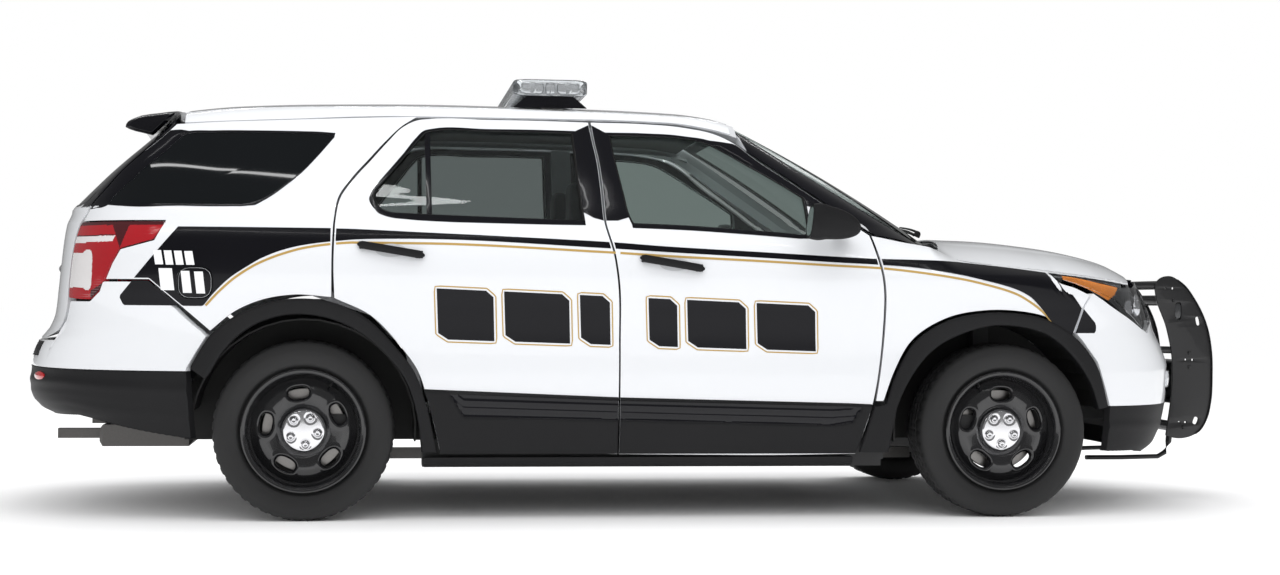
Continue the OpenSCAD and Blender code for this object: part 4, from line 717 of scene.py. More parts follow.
# ---- Hood: a pressed skin with a raised middle, over the engine bay.
i, u = np.meshgrid(np.linspace(0, 1, 81), np.linspace(-1, 1, 109), indexing="ij")
back_x, front_x = 1318-140*u*u, 700+1503*(1-(np.abs(u)*726/991)**2.5)**(1/6)
x = back_x+(front_x-back_x)*i
half = flank(x, smooth(x, HOOD_SIDE))-12
zc, ze = smooth(x, HOOD_TOP), smooth(x, HOOD_SIDE)+1
crease = 5*(np.tanh((np.abs(u)-.60)/.03)*-.5-.5)*np.sin(np.pi*np.clip(i, 0, 1))**.5
bonnet = points(x, u*half, zc-(zc-ze)*np.abs(u)**2.6+crease*0.8)
shell("hood_skin", bonnet, bonnet-[0, 0, 7], "hood", white_paint, stands_for="hood", bevel=1.8)
inner = points(x*.97+52, u*half*.93, bonnet[..., 2]-14)
ribs = 7*(np.abs(np.sin(3*np.pi*u))**3+np.abs(np.sin(2.5*np.pi*i))**6)
under = inner-points(0*x, 0*x, 2+ribs)
# The inner frame takes the grey copy of the white paint: painted shade under the hood.
shell("hood_inner_frame", inner[::2, ::2], under[::2, ::2], "hood", white_in_painted_shade)

# ---- Bumpers and valances: painted covers wrapped round each end, over grained plastic.
FRONT_SEAM = [[262,1911],[455,1909],[640,1850],[737,1774],[762,1748],[880,1790],[935,1832]]
REAR_SEAM = [[320,-1868],[520,-1882],[600,-1888],[664,-1852],[735,-1808],[824,-1855],[1000,-1903]]
FRONT_TOP = [[0,698],[0.40,698],[0.415,816],[0.543,784],[0.605,760],[0.68,784],[0.835,851],[0.93,898],[1,928]]
REAR_TOP = [[0,703],[0.475,703],[0.49,862],[0.645,862],[0.70,902],[0.718,941],[0.87,941],[0.90,921],[0.96,836],
    [1,729]]
def end_grid(front, low, high, rows, columns, d=0.0, lo=-1.0, hi=1.0):
    """Grid round an end: w runs from one wheel opening to the other, v from the low to the high edge."""
    w, v = np.meshgrid(np.linspace(lo, hi, columns), np.linspace(0, 1, rows), indexing="ij")
    z = lin(np.abs(w), low)+(lin(np.abs(w), high)-lin(np.abs(w), low))*v
    seam = lin(z, FRONT_SEAM if front else REAR_SEAM)
    if callable(d):
        d = d(w, v, z)
    return end_point(front, w*end_angle(front, seam, z), z, d)
def pressed(w, v, z):
    """Bumper relief: the pocket round each fog lamp."""
    return 9*np.exp(-((np.abs(w)-.44)/.07)**4)*np.exp(-((z-560)/42)**4)
def end_cover(name, front, low, high, grid, face, depth, look, half=1.0, back_high=None, **more):
    """Skin round an end: its outside carries the relief face, its inside lies depth below the surface."""
    outer = end_grid(front, low, high, *grid, face, -half, half)
    inner = end_grid(front, low, back_high or high, *grid, depth, -half, half)
    return shell(name, outer, inner, "body", look, **more)
end_cover("front_bumper_cover", True, [[0,458],[1,458]], FRONT_TOP, (36, 241), pressed, 24, white_paint,
    stands_for="front_bumper", bevel=1.8)
end_cover("front_valance_cover", True, [[0,236],[0.5,240],[0.8,262],[1,266]], [[0,455],[1,455]], (22, 161),
    lambda w, v, z: -4*np.exp(-((v-.55)/.1)**2), 26, trim_black, back_high=[[0,454],[1,454]],
    stands_for="front_valance", bevel=2.5)
end_cover("rear_bumper_cover", False, [[0,600],[1,592]], REAR_TOP, (30, 241), 0.0, 26, white_paint,
    stands_for="rear_bumper", bevel=1.8)
end_cover("rear_valance_cover", False, [[0,392],[0.62,410],[1,327]], [[0,596],[1,588]], (22, 201),
    lambda w, v, z: -5*np.exp(-((v-.72)/.09)**2)-3*np.exp(-((v-.3)/.06)**2), 30, trim_black,
    stands_for="rear_valance", bevel=2.5)
end_cover("front_intake", True, [[0,486],[1,486]], [[0,626],[1,626]], (30, 90),
    lambda w, v, z: -3+5*np.sin(np.pi*v*7)**2*(np.abs(w) < .25), 4, trim_black, half=.27, bevel=1.0)
end_cover("rear_step_pad", False, [[0,640],[1,640]], [[0,698],[1,698]], (12, 90),
    lambda w, v, z: -4+2*np.sin(np.pi*v*5)**2, 3, trim_black, half=.36, bevel=1.0)
fog_glass = finish("fog_lamp_glass", (0.75, 0.76, 0.78), 0.12, 0.1, 200, 0.1, 0.0002, Coat_Weight=1.0, Metallic=0.6)
red_glass = finish("red_reflector", (0.42, 0.010, 0.014), 0.16, 0.1, 500, 0.25, 0.0003, Coat_Weight=1.0)
for side, s in SIDES:
    a = np.linspace(0, 2*np.pi, 40, endpoint=False)
    for front, mid, high, size, look, name in ((True, 31.5, 560, (3.0, 36), fog_glass, "fog_lamp"),
        (False, 33, 560, (4.6, 17), red_glass, "rear_reflector")):
        rings = [end_point(front, s*(mid+size[0]*f*np.cos(a)), high+size[1]*f*np.sin(a), d)
            for f, d in ((1, 6 if front else 0), (1, -4), (.9, -6), (.5, -8), (.02, -9))]
        loft(f"{name}_{side}", np.stack(rings[::-1]), "body", look)

# ---- Grille: a black surround with three plated bars that follow the nose.
top_edge = [[0,1018],[28,1006],[35,998],[45,976]]
a, v = np.meshgrid(np.linspace(-28.6, 28.6, 130), np.linspace(0, 1, 52), indexing="ij")
z = 708+(lin(np.abs(a), top_edge)-14-708)*v
mesh_holes = 7*(np.abs(np.sin(a*3.2))**.5*np.abs(np.sin(v*np.pi*14))**.5)
shell("grille_mesh", end_point(True, a, z, 7+mesh_holes), end_point(True, a, z, 26), "body", gloss_black,
    stands_for="grille")
for k, (low, high) in enumerate(((.10, .24), (.40, .54), (.70, .84))):
    a, v = np.meshgrid(np.linspace(-26.5, 26.5, 90), np.linspace(0, 1, 9), indexing="ij")
    z = 708+(lin(np.abs(a), top_edge)-14-708)*(low+(high-low)*v)
    shell(f"grille_bar_{k}", end_point(True, a, z, 3.5-5*np.sin(np.pi*v)**.6), end_point(True, a, z, 12), "body",
        chrome)

# ---- Headlamps: a clear lens over an amber side section, a dark bezel and a bright bowl.
HEAD = np.array([[29.8,826,984],[35,806,977],[40,793,966],[45,770,955],[50,797,953],[55,848,962],[60,902,971],
    [68,951,988],[74,985,1002]])
lens_clear = finish("lamp_lens", (0.93, 0.94, 0.95), 0.02, 0.02, 60, 0.02, 0.00001, Transmission_Weight=1.0, IOR=1.25)
amber = finish("amber_reflector", (0.85, 0.26, 0.03), 0.24, 0.15, 260, 0.5, 0.0006, Coat_Weight=1.0)
bezel = finish("smoked_bezel", (0.05, 0.052, 0.055), 0.25, 0.12, 200, 0.3, 0.0002, Coat_Weight=0.7, Metallic=0.4)
def lamp_grid(front, table, s, columns, rows, d, margin=0.0, taper=None):
    """Grid over a corner lamp: angle from the table's first column, height between its other two."""
    a = np.linspace(table[0][0]+margin, table[-1][0]-margin, columns)[:, None]
    v = np.linspace(0, 1, rows)[None, :]
    low, high = lin(a, table[:, :2])+margin*4, lin(a, table[:, ::2])-margin*4
    z = low+(high-low)*v
    dd = d if taper is None else d*taper(a)
    q = end_point(front, a+0*v, z, dd)
    q[..., 1] *= s
    return q
for side, s in SIDES:
    n = 110
    shell(f"headlamp_{side}_lens", lamp_grid(True, HEAD, s, n, 30, 1), lamp_grid(True, HEAD, s, n, 30, 3.5), "body",
        lens_clear, stands_for="headlamps" if side == "left" else ())
    taper = lambda a: np.clip((75-a)/14, 0.28, 1)
    q = lamp_grid(True, HEAD, s, n, 44, 30, 0.15, taper)
    ripple = 2.2*np.sin(q[..., 0:1]*0.55)*np.array([0, 1.0*s, 0])
    c = (q[:-1, :-1]+q[1:, 1:])/2
    line = lin(c[..., 0], [[1690,965],[1779,934],[1866,908],[1921,902],[1960,925],[1990,962],[2030,990],[2300,1010]])
    is_amber = (c[..., 2] > line) & (c[..., 0] < 1995)
    bowl = ((c[..., 0]-2052)/34)**2+((c[..., 2]-872)/30)**2 < 1
    kinds = np.where(is_amber, 1, np.where(bowl, 2, 0)).ravel()
    every = np.zeros(2*n*43+2*(n-1), int)
    every[:(n-1)*43] = kinds
    shell(f"headlamp_{side}_inside", q+ripple*is_amber.mean(), lamp_grid(True, HEAD, s, n, 44, 36, 0.15, taper),
        "body", [bezel, amber, chrome], kinds=every)
    for k, (ang, zz, r, look) in enumerate(((42.5, 868, 36, chrome), (42.5, 868, 26, lens_clear),
        (35.5, 905, 24, chrome))):
        centre = end_point(True, np.array([ang]), np.array([float(zz)]), 24.0)[0]*[1, s, 1]
        d = unit(np.array([np.cos(np.radians(35)), s*np.sin(np.radians(35)), 0.05]))
        t = np.linspace(0, 1, 12)
        rr = r*np.sin(np.clip(t*np.pi/2+.02, 0, 1.57))
        sweep(f"headlamp_{side}_projector_{k}", centre[None]+d[None]*(r*.55*(np.cos(t*np.pi/2))[:, None]-6), rr,
            "body", look, n=36)

# ---- Tail lamps: red lenses wrapped round the corner, crossed by a clear bar and with an
# ---- upright clear lamp at the rear edge.
TAIL_LAMP = np.array([[36,878,1181],[41,874,1181],[44,872,1181],[49.8,871,1181],[53.8,911,1181],[57,1015,1181],
    [59.3,1073,1181],[64,1090,1181],[68.5,1109,1181],[70.8,1176,1181]])
tail_red = finish("red_lens", (0.36, 0.004, 0.010), 0.10, 0.06, 300, 0.25, 0.0001, Coat_Weight=1.0,
    Coat_Roughness=0.02)
tail_dark = finish("dark_red_lens", (0.055, 0.002, 0.005), 0.08, 0.06, 300, 0.3, 0.0001, Coat_Weight=1.0)
tail_clear = finish("clear_lens_over_reflector", (0.72, 0.70, 0.70), 0.14, 0.1, 420, 0.12, 0.0004, Coat_Weight=1.0)
for side, s in SIDES:
    n, rows = 150, 70
    inner_edge = lambda z: np.degrees(np.arcsin((648/half_width(z))**1.25))
    a0 = np.linspace(0, 1, n)[:, None]
    v = np.linspace(0, 1, rows)[None, :]
    a_path = 36+(70.8-36)*a0
    low, high = lin(a_path, TAIL_LAMP[:, :2]), lin(a_path, TAIL_LAMP[:, ::2])
    z = low+(high-low)*v
    a = inner_edge(z)+(70.8-inner_edge(z))*a0
    z = lin(a, TAIL_LAMP[:, :2])+(high-lin(a, TAIL_LAMP[:, :2]))*v
    q = end_point(False, a, z, 0.0)
    inset = end_point(False, a, z, 0.0)
    deep = np.interp(a, [0, 48, 57, 61, 74], [36, 34, 16, 6, 4])
    inset[..., 0] += deep
    inset[..., 1] -= 12*np.clip(a0*6, 0, 1)
    q[..., 1] *= s
    inset[..., 1] *= s
    c = (q[:-1, :-1]+q[1:, 1:])/2
    cx, cz = c[..., 0], c[..., 2]
    bar = (cz > 1098+(cx+2309)*.03) & (cz < 1124) & (cx < -2190+(cz-1098)*.5)
    upright = (((cx+2294)/(21+.02*(cz-985)))**4+((cz-988)/80)**4 < 1) | ((cx < -2300) & (np.abs(cz-988) < 70))
    wedge = (cz > 1076) & (np.abs(cx+2156) < 2+(cz-1080)*.38)
    rim = (cz > 1167) | ((cz < 905+.6*(cx+2277)) & (cx > -2277)) | (np.abs(cz-1127) < 2.2) & (cx < -2180)
    kinds = np.where(bar | upright, 2, np.where(wedge | rim, 1, 0))
    band = np.zeros(len(cells(2*n, rows, wrap_rows=True))+2*(n-1), int)
    band[:(n-1)*(rows-1)] = kinds.ravel()
    bumps = 1.0*np.abs(np.sin(z*.32))
    bumps[0], bumps[-1], bumps[:, 0], bumps[:, -1] = 0, 0, 0, 0
    q[..., 0] += bumps
    shell(f"tail_lamp_{side}_lens", q, inset, "body", [tail_red, tail_dark, tail_clear], kinds=band,
        stands_for="tail_lamps" if side == "left" else (), bevel=1.2)

# ---- Liftgate: a pressed panel with a bonded black glass, black corner covers, a plate
# ---- recess with a plated bar, a rear wiper and a gloss black spoiler over the glass.
GATE_MID = [[1240,-2440],[1400,-2270],[1520,-2135],[1583,-2064],[1650,-1992],[1690,-1946]]
GATE_EDGE = [[1240,-2302],[1320,-2230],[1395,-2162],[1460,-2093],[1520,-2024],[1583,-1960],[1640,-1938]]
GATE_HALF = [[1240,643],[1320,695],[1395,715],[1460,720],[1520,713],[1583,698],[1640,620]]
def gate_x(y, z):
    """Rear face of the liftgate: wrapped round the body below the glass, and a cubic bow across the glass."""
    low = -900+(tail_x(z)+900)*np.maximum(1-np.minimum(np.abs(y)/half_width(z), 1)**2.5, 1e-6)**(1/6)
    high = smooth(z, GATE_MID)+(smooth(z, GATE_EDGE)-smooth(z, GATE_MID))*(np.abs(y)/smooth(z, GATE_HALF))**3
    w = np.clip((z-1225)/30, 0, 1)
    w = w*w*(3-2*w)
    return low*(1-w)+high*w
def gate_point(q, d=0.0):
    """Point of the liftgate at (y, z), d below its outside."""
    y, z = q[..., 0], q[..., 1]
    w = np.clip((z-1180)/120, 0, 1)
    return points(gate_x(y, z)+d*(1-.26*w), y, z-d*.66*w)
half_out = [[0,715],[300,715],[560,720],[618,742],[630,800],[634,900],[636,1000],[636,1100],[632,1180],[628,1240],
    [680,1320],[702,1395],[707,1460],[699,1520],[684,1583],[598,1630],[400,1659],[200,1675],[0,1680]]
half_in = [[0,1262],[150,1262],[290,1262],[400,1262],[480,1263],[530,1266],[560,1272],[580,1284],[592,1300],
    [600,1322],[609,1360],[614,1400],[614,1460],[604,1520],[586,1558],[540,1582],[380,1596],[190,1602],[0,1604]]
both_halves = lambda l: l+[[-y, z] for y, z in l[-2:0:-1]]
out, hole = trace(both_halves(half_out), 8), trace(both_halves(half_in), 8)
small = out+(np.array([0, 1180])-out)*.035
t = (np.linspace(0, 1, 44)**1.4)[:, None, None]
recess = lambda q: 16*np.exp(-((q[..., 0]/215)**8))*np.exp(-(((q[..., 1]-905)/68)**8))
face = hole+(out-hole)*t
gate_depth = lambda q: np.interp(q[..., 1], [1240, 1560, 1640], [42, 30, 26])
rear = hole+(small-hole)*t
gate = shell("liftgate_skin", gate_point(face, recess(face)), gate_point(rear, gate_depth(rear)), "liftgate",
    [white_paint, gloss_black], wrap=True, stands_for="liftgate", bevel=2.0)
zone(gate, lambda x, y, z: np.where((z > 1246) & (z < 1640) & (np.abs(y) > smooth(z, GATE_HALF)*.84), 1, -1))
few = (np.linspace(0, 1, 12)**1.4)[:, None, None]
card, deep = hole+(small-hole)*(few*.86+.02), gate_depth(hole+(small-hole)*few)
shell("liftgate_card", gate_point(card, deep-1), gate_point(card, deep+3), "liftgate", door_card, wrap=True)
n_side = len(out)
idx = np.arange(n_side)/8
to_black = np.interp(idx, [0,8.5,9.3,9.6,14.2,14.8,21.2,21.8,26.4,26.7,27.5,36],
    [.02,.03,.5,.97,.97,.3,.3,.97,.97,.5,.03,.02])
rows = np.array([0, .03, .5, .97, 1])[:, None, None]
cover = hole+(out-hole)*rows*to_black[None, :, None]
lift_rows = np.array([.3, 1.4, 1.6, 1.4, .3])[:, None]
shell("liftgate_glass_border", gate_point(cover, -lift_rows), gate_point(cover, .2+0*lift_rows), "liftgate",
    gloss_black, wrap=True)
c = np.array([0, 1430.0])
t = np.concatenate([[1], np.linspace(.96, .06, 14), [.002]])[:, None, None]
rings = c+(hole-c)*t
loft("liftgate_glass_pane", np.concatenate([gate_point(rings, 1.5)[::-1], gate_point(rings, 6.5)]), "liftgate",
    privacy_glass, stands_for="liftgate_glass")
y = np.linspace(-575, 575, 80)
roof_edge = smooth(-1932+0*y, ROOF_TOP)-CROWN*y*y
f = gate_x(y, roof_edge-12)-12
section = [(f, roof_edge-1), ((f-2050)/2, roof_edge-4), (-2050+0*y, roof_edge-9), (-2090+0*y, roof_edge-14),
    (-2122+0*y, roof_edge-20), (-2150+0*y, roof_edge-31), (-2168+0*y, roof_edge-42), (-2176+0*y, roof_edge-54),
    (-2178+0*y, roof_edge-66), (-2160+0*y, roof_edge-75), (-2138+0*y, roof_edge-82),
    (gate_x(y, roof_edge-96)-16, roof_edge-98), (gate_x(y, roof_edge-50)-17, roof_edge-52), (f-2, roof_edge-10)]
loops = np.stack([points(a, y, b) for a, b in section], 1)
middle = loops.mean(1, keepdims=True)
tuck = np.clip((np.abs(np.linspace(-1, 1, 80))-.97)/.03, 0, 1)[:, None, None]
loft("rear_spoiler_wing", loops+(middle-loops)*tuck*.25, "liftgate", gloss_black, stands_for="rear_spoiler",
    bevel=3.0)
y = np.linspace(-250, 250, 60)
t = np.linspace(0, 1, 9)[None, :]
face_bar = lambda d: points(gate_x(y[:, None], 985+30*t)-d*np.sin(np.pi*np.clip(t, .06, .94))**.5, y[:, None],
    985+30*t)
shell("liftgate_plate_bar", face_bar(12), face_bar(-3), "liftgate", chrome)
u, v = np.meshgrid(np.linspace(-152, 152, 30), np.linspace(848, 960, 16), indexing="ij")
plate = finish("blank_plate", (0.62, 0.63, 0.64), 0.35, 0.1, 120, 0.06, 0.00005, Metallic=0.2)
edge_lip = 1.4*(np.maximum(np.abs(u)/152, np.abs(v-904)/56) > .93)
shell("liftgate_blank_plate", points(gate_x(0*u, v)+9-edge_lip, u, v), points(gate_x(0*u, v)+12, u, v), "liftgate",
    plate, bevel=.5)
sweep("rear_wiper_arm", gate_point(np.stack([np.linspace(-30, 360, 30), 1285+np.linspace(0, 1, 30)*26], 1), -16),
    np.linspace(8, 4, 30), "liftgate", trim_black, squash=(.7, 1.2))
sweep("rear_wiper_pivot", gate_point(np.array([[-30, 1285.0]]*4), np.array([2, -8, -18, -23])), [17, 17, 15, 8],
    "liftgate", trim_black, n=24)

# ---- Fuel door: a small curved flap on the right quarter, with a cup and cap behind it.
def flap_rings(grow, shares, depths):
    """Rings over the fuel door's outline, drawn in to its middle, each at its own depth."""
    edge = flap_loop(grow)
    mid = np.array(FLAP[:2], float)
    return np.stack([on_flank(*(mid+(edge-mid)*k).T, -1, d) for k, d in zip(shares, depths)])
shares = np.array([1, .97, .8, .6, .4, .2, .01])
loft("fuel_door_flap", np.concatenate([flap_rings(1, shares[::-1], 0*shares), flap_rings(1, shares, 5.5+0*shares)]),
    "fuel_door", white_paint, stands_for="fuel_door", bevel=1.0)
loft("fuel_cup", np.concatenate([flap_rings(1, [.01, .4, .9, 1.02, 1.08], [58, 58, 58, 52, 8]),
    flap_rings(1, [1.11, 1.06, .9, .4, .01], [8, 58, 63, 63, 63])]), "body", rubber)
t = np.linspace(0, 1, 10)
cap_at = np.array([FLAP[0], -float(flank(FLAP[0], FLAP[1])), FLAP[1]])
sweep("fuel_cap", cap_at[None]+np.stack([0*t, 58-44*t, 0*t], 1),
    34*np.array([1, 1.02, 1.02, 1, .62, .58, .58, .56, .5, .02]), "body", trim_black, n=36, squash=(1, 1))

# ---- Wheels: pressed steel centres with five windows, welded into rolled rims and painted
# ---- gloss black; a plated cap clips over each hub and its five nuts. Tyres are moulded
# ---- rubber with grooved treads.
wheel_black = finish("black_enamel", (0.008, 0.008, 0.009), 0.22, 0.1, 200, 0.25, 0.00002, Coat_Weight=0.8,
    Coat_Roughness=0.03)
tread = finish("tyre_rubber", (0.014, 0.014, 0.0145), 0.62, 0.14, 700, 0.4, 0.0002)
disc_steel = finish("turned_disc_steel", (0.30, 0.29, 0.28), 0.34, 0.2, 300, 0.3, 0.0001, Metallic=1.0)

def revolve(name, profile, centre, s, body, material, n=144, relief=None, **more):
    """Closed profile (radius, outward distance) turned round the axle; relief changes the radius by angle."""
    p = np.asarray(profile, float)
    a = np.linspace(0, 2*np.pi, n, endpoint=False)[:, None]
    r, w = p[None, :, 0]+0*a, p[None, :, 1]+0*a
    if relief is not None:
        r, w = relief(r, w, a)
    q = points(centre[0]+r*np.cos(a), centre[1]+s*w, centre[2]+r*np.sin(a))
    return piece(name, q, cells(n, len(p), True, True), body, material, **more)

def window_height(r):
    """Dish of the pressed centre against radius."""
    return smooth(r, [[50,62],[84,63],[98,74],[112,84],[150,89],[178,80],[200,62],[213,54]])

AXLE = {"front": 1430, "rear": -1430}
rim_profile = trace([[229,112],[232,103],[240,104],[246,107],[246,113],[240,117],[233,115],[226,108],[219,84],
    [213,66],[209,58],[209,20],[209,-54],[226,-76],[229,-112],[240,-117],[246,-112],[246,-105],[237,-101],[233,-98],
    [229,-60],[229,60]], 4, sharp=70)
tyre_half = [[230,-98],[247,-97],[262,-114],[285,-121],[305,-122.4],[322,-120],[337,-114],[347,-106],[352,-97],
    [355.5,-86],[357,-76],[357,-58]]
groove = lambda w0, w1: [[357,w0-.5],[349.5,w0+1],[349.5,w1-1],[357,w1+.5]]
tread_line = [[357,-50]]+groove(-46,-36)+groove(-14,-5)+groove(5,14)+groove(36,46)+[[357,50]]
tyre_profile = np.array(trace(tyre_half, 3, closed=False,
    sharp=80).tolist()+tread_line+(trace(tyre_half, 3, closed=False, sharp=80)*[1, -1])[::-1].tolist() + [[229.5,80],
    [250,88],[285,105],[322,104],[340,80],[342,0],[340,-80],[322,-104],[285,-105],[250,-88],[229.5,-80]])
def tread_relief(r, w, a):
    """Cross sipes in the ribs, deeper slots in the shoulders and a fine raised ring on the sidewall."""
    step = np.arange(len(a))[:, None]
    on_top = (r > 351) & (np.abs(w) < 100)
    shoulder = on_top & (np.abs(w) > 47)
    slot = ((step % 6 == 0) | (step % 6 == 1)) & shoulder
    sipe = (step % 3 == 0) & on_top & ~shoulder & (r > 355)
    r = r - 4.5*slot - 3*sipe
    ring = 1.2*np.exp(-((r-268)/2.2)**2) + 1.0*np.exp(-((r-318)/2)**2)
    return r, w + np.sign(w)*ring*(np.abs(w) > 110)*.6
for place, x0 in AXLE.items():
    for side, s in SIDES:
        body, centre = f"wheel_{place}_{side}", (x0, s*851, 357)
        revolve(f"tyre_{place}_{side}_tread", tyre_profile, centre, s, body, tread, n=288,
            stands_for=f"tyre_{place}_{side}", relief=tread_relief, sharp=34)
        revolve(f"wheel_{place}_{side}_rim", rim_profile, centre, s, body, wheel_black, n=96,
            stands_for=f"wheel_{place}_{side}")
        # pressed centre: five like sectors, each a ring between its window and its own edge
        t = np.linspace(0, 1, 40, endpoint=False)
        e = np.pi/5
        edge = np.concatenate([np.stack([78+0*t, -e+2*e*t], 1), np.stack([78+131*t, e+0*t], 1),
            np.stack([209+0*t, e-2*e*t], 1), np.stack([209-131*t, -e+0*t], 1)])
        edge = np.stack([edge[:, 0]*np.cos(edge[:, 1]), edge[:, 0]*np.sin(edge[:, 1])], 1)
        b = np.arctan2(edge[:, 1], edge[:, 0]-150)
        k = (np.abs(np.cos(b)/24)**2.6+np.abs(np.sin(b)/40)**2.6)**(-1/2.6)
        hole = np.stack([150+k*np.cos(b), k*np.sin(b)], 1)
        rows = np.concatenate([np.linspace(0, .3, 8), np.linspace(.38, 1, 8)])[:, None, None]
        q = hole+(edge-hole)*rows
        r = np.linalg.norm(q, axis=-1)
        near = np.linalg.norm(q-hole, axis=-1)
        lip = -16*np.exp(-near/5.5)+3.5*np.exp(-((near-13)/7)**2)
        w = window_height(r)+lip
        parts, faces = [], []
        ring_faces = cells(32, 160, True, True)
        for k5 in range(5):
            phi = np.radians(72*k5+90+(8 if place == "rear" else 0))
            rot = np.array([[np.cos(phi), -np.sin(phi)], [np.sin(phi), np.cos(phi)]])
            xy = q @ rot.T
            front = points(centre[0]+xy[..., 0], centre[1]+s*w, centre[2]+xy[..., 1])
            rear = front-[0, s*7, 0]
            parts.append(np.concatenate([front, rear[::-1]]).reshape(-1, 3))
            faces.append(ring_faces+k5*32*160)
        piece(f"wheel_{place}_{side}_centre", np.concatenate(parts), np.concatenate(faces), body, wheel_black,
            sharp=60)
        # cap: a shallow dome with a cup over each nut
        rr, aa = np.linspace(0, 1, 30)[:, None]*88+.2, np.linspace(0, 2*np.pi, 120, endpoint=False)[None, :]
        cx, cz = rr*np.cos(aa), rr*np.sin(aa)
        dome = 66+20*np.clip((88-rr)/10, 0, 1)**.5+3*np.cos(rr/88*1.5)
        for k5 in range(5):
            phi = np.radians(72*k5+54+(8 if place == "rear" else 0))
            gap_to = np.hypot(cx-56*np.cos(phi), cz-56*np.sin(phi))
            dome = dome+9*np.clip((15-gap_to)/5, 0, 1)**.6-3*np.exp(-((gap_to-19)/3)**2)-4*np.exp(-(gap_to/5)**2)
        front = points(centre[0]+cx, centre[1]+s*dome, centre[2]+cz)
        rear = points(centre[0]+cx, centre[1]+s*(0*dome+58), centre[2]+cz)
        loft(f"wheel_{place}_{side}_cap", np.concatenate([rear, front[::-1]]), body, chrome, sharp=70)
        revolve(f"wheel_{place}_{side}_disc", trace([[60,6],[164,6],[166,8],[166,26],[164,28],[92,28],[86,34],[84,50],
            [60,50]], 2, sharp=10), centre, s, body, disc_steel, n=96, sharp=30)
        ang = np.radians(118 if place == "front" else 60)
        stem = np.array([[212,66],[216,78],[221,88],[226,97]])
        sweep(f"wheel_{place}_{side}_valve", np.stack([centre[0]+(stem[:, 0]-8)*np.cos(ang), centre[1]+s*stem[:, 1],
            centre[2]+(stem[:, 0]-8)*np.sin(ang)], 1), [4.5, 4.5, 3.6, 3.2], body, rubber, n=12)

# ---- Door mirrors: a moulded shell on a short arm, with the glass facing back.
mirror_glass = finish("mirror_silver", (0.85, 0.86, 0.88), 0.02, 0.01, 60, 0.02, 0.000001, Metallic=1.0)
for side, s in SIDES:
    a, t = np.linspace(0, 2*np.pi, 48, endpoint=False)[None, :], np.linspace(0, 1, 30)[:, None]
    # loops from the glass opening at the back to the nose at the front
    x = 580+214*t
    swell = np.sqrt(np.clip(1-(t*.985)**2.4, 0, 1))*(.93+.07*np.sin(np.pi*np.clip(t*3, 0, 1)))
    cy, cz = 1082-30*t**1.5, 1208-26*t**1.6
    c, q, r = np.cos(a), np.sin(a), squarish(a, 2.8)
    y = cy+62*swell*r*c
    z = cz+(74+6*c)*swell*r*q
    shape = points(x+10*q*swell, s*y, z)
    loft(f"mirror_{side}_shell", shape, f"door_front_{side}", trim_black, stands_for=f"mirror_{side}", sharp=60)
    back_loop = shape[0]-(shape[0].mean(0)-shape[0])*-.10
    mid = back_loop.mean(0)
    loft(f"mirror_{side}_glass", np.stack([mid+(back_loop-mid)*k-[d, 0, 0] for k, d in ((.9, -2), (.92, .8),
        (.6, 1.3), (.03, 1.5))]), f"door_front_{side}", mirror_glass)
    arm = np.array([[742, s*1040, 1166], [746, s*1018, 1160], [745, s*990, 1160], [742, s*968, 1162],
        [740, s*950, 1163]])
    sweep(f"mirror_{side}_arm", arm, [24, 24, 25, 27, 29], f"door_front_{side}", trim_black, squash=(1.35, .62))

# ---- Markings: cut vinyl film laid on the panels: a black band that widens to both ends,
# ---- a gold line under it, six plain slanted blocks with gold edges and two rows of bars.
film_black = finish("black_film", (0.004, 0.004, 0.006), 0.24, 0.08, 300, 0.2, 0.000006, Coat_Weight=0.1,
    Specular_IOR_Level=0.2)
film_gold = finish("gold_film", (0.46, 0.29, 0.075), 0.34, 0.1, 500, 0.12, 0.00001)
film_white = finish("white_film", (0.86, 0.87, 0.88), 0.34, 0.08, 300, 0.02, 0.000006)
BAND_TOP = [[-1926,1161],[-1326,1160],[-979,1149],[-229,1119],[19,1103],[400,1085],[760,1068],[889,1063],[1040,1061],
    [1240,1056],[1300,1051],[1450,1037],[1639,1014],[1841,770]]
BAND_LOW = [[-1823,848],[-1780,901],[-1718,961],[-1661,1000],[-1594,1040],[-1517,1071],[-1439,1091],[-1328,1107],
    [-1180,1119],[-979,1122],[-229,1093],[19,1080],[400,1062],[760,1044],[884,1039],[1021,1031],[1233,1001],
    [1339,978],[1457,948],[1532,915],[1590,862],[1638,807],[1700,767],[1727,761],[1860,761]]
GOLD = [[-1815,848],[-1756,911],[-1690,968],[-1603,1021],[-1517,1056],[-1430,1081],[-1327,1097],[-1235,1104],
    [-979,1104],[-229,1077],[19,1064],[400,1048],[683,1034],[889,1025],[1021,1013],[1233,984],[1339,962],[1468,926],
    [1554,880],[1600,845],[1635,810]]
def film(name, s, body, material, low, high, left, right, n, rows, lift=0.7):
    """Strip of film on side s: x runs between the left and right edges, tables of x against z,
    and z between the low and high edges, functions of x."""
    u, v = np.meshgrid(np.linspace(0, 1, n), np.linspace(0, 1, rows), indexing="ij")
    x = left[0][1]+(right[0][1]-left[0][1])*u
    for _ in range(12):
        z = low(x)+(high(x)-low(x))*v
        x = lin(z, left)+(lin(z, right)-lin(z, left))*u
    z = low(x)+(high(x)-low(x))*v
    return flank_shell(name, x, z, s, -lift, -lift+.4, body, material)
def covering(name, edge, s, body, material):
    """Film inside a closed edge: rings drawn in to its middle."""
    mid = edge.mean(0)
    q = mid+(edge-mid)*np.linspace(1, .01, 8)[:, None, None]
    face, back = (on_flank(q[..., 0], q[..., 1], s, d) for d in (-.7, -.3))
    return loft(name, np.concatenate([face[::-1], back]), body, material)
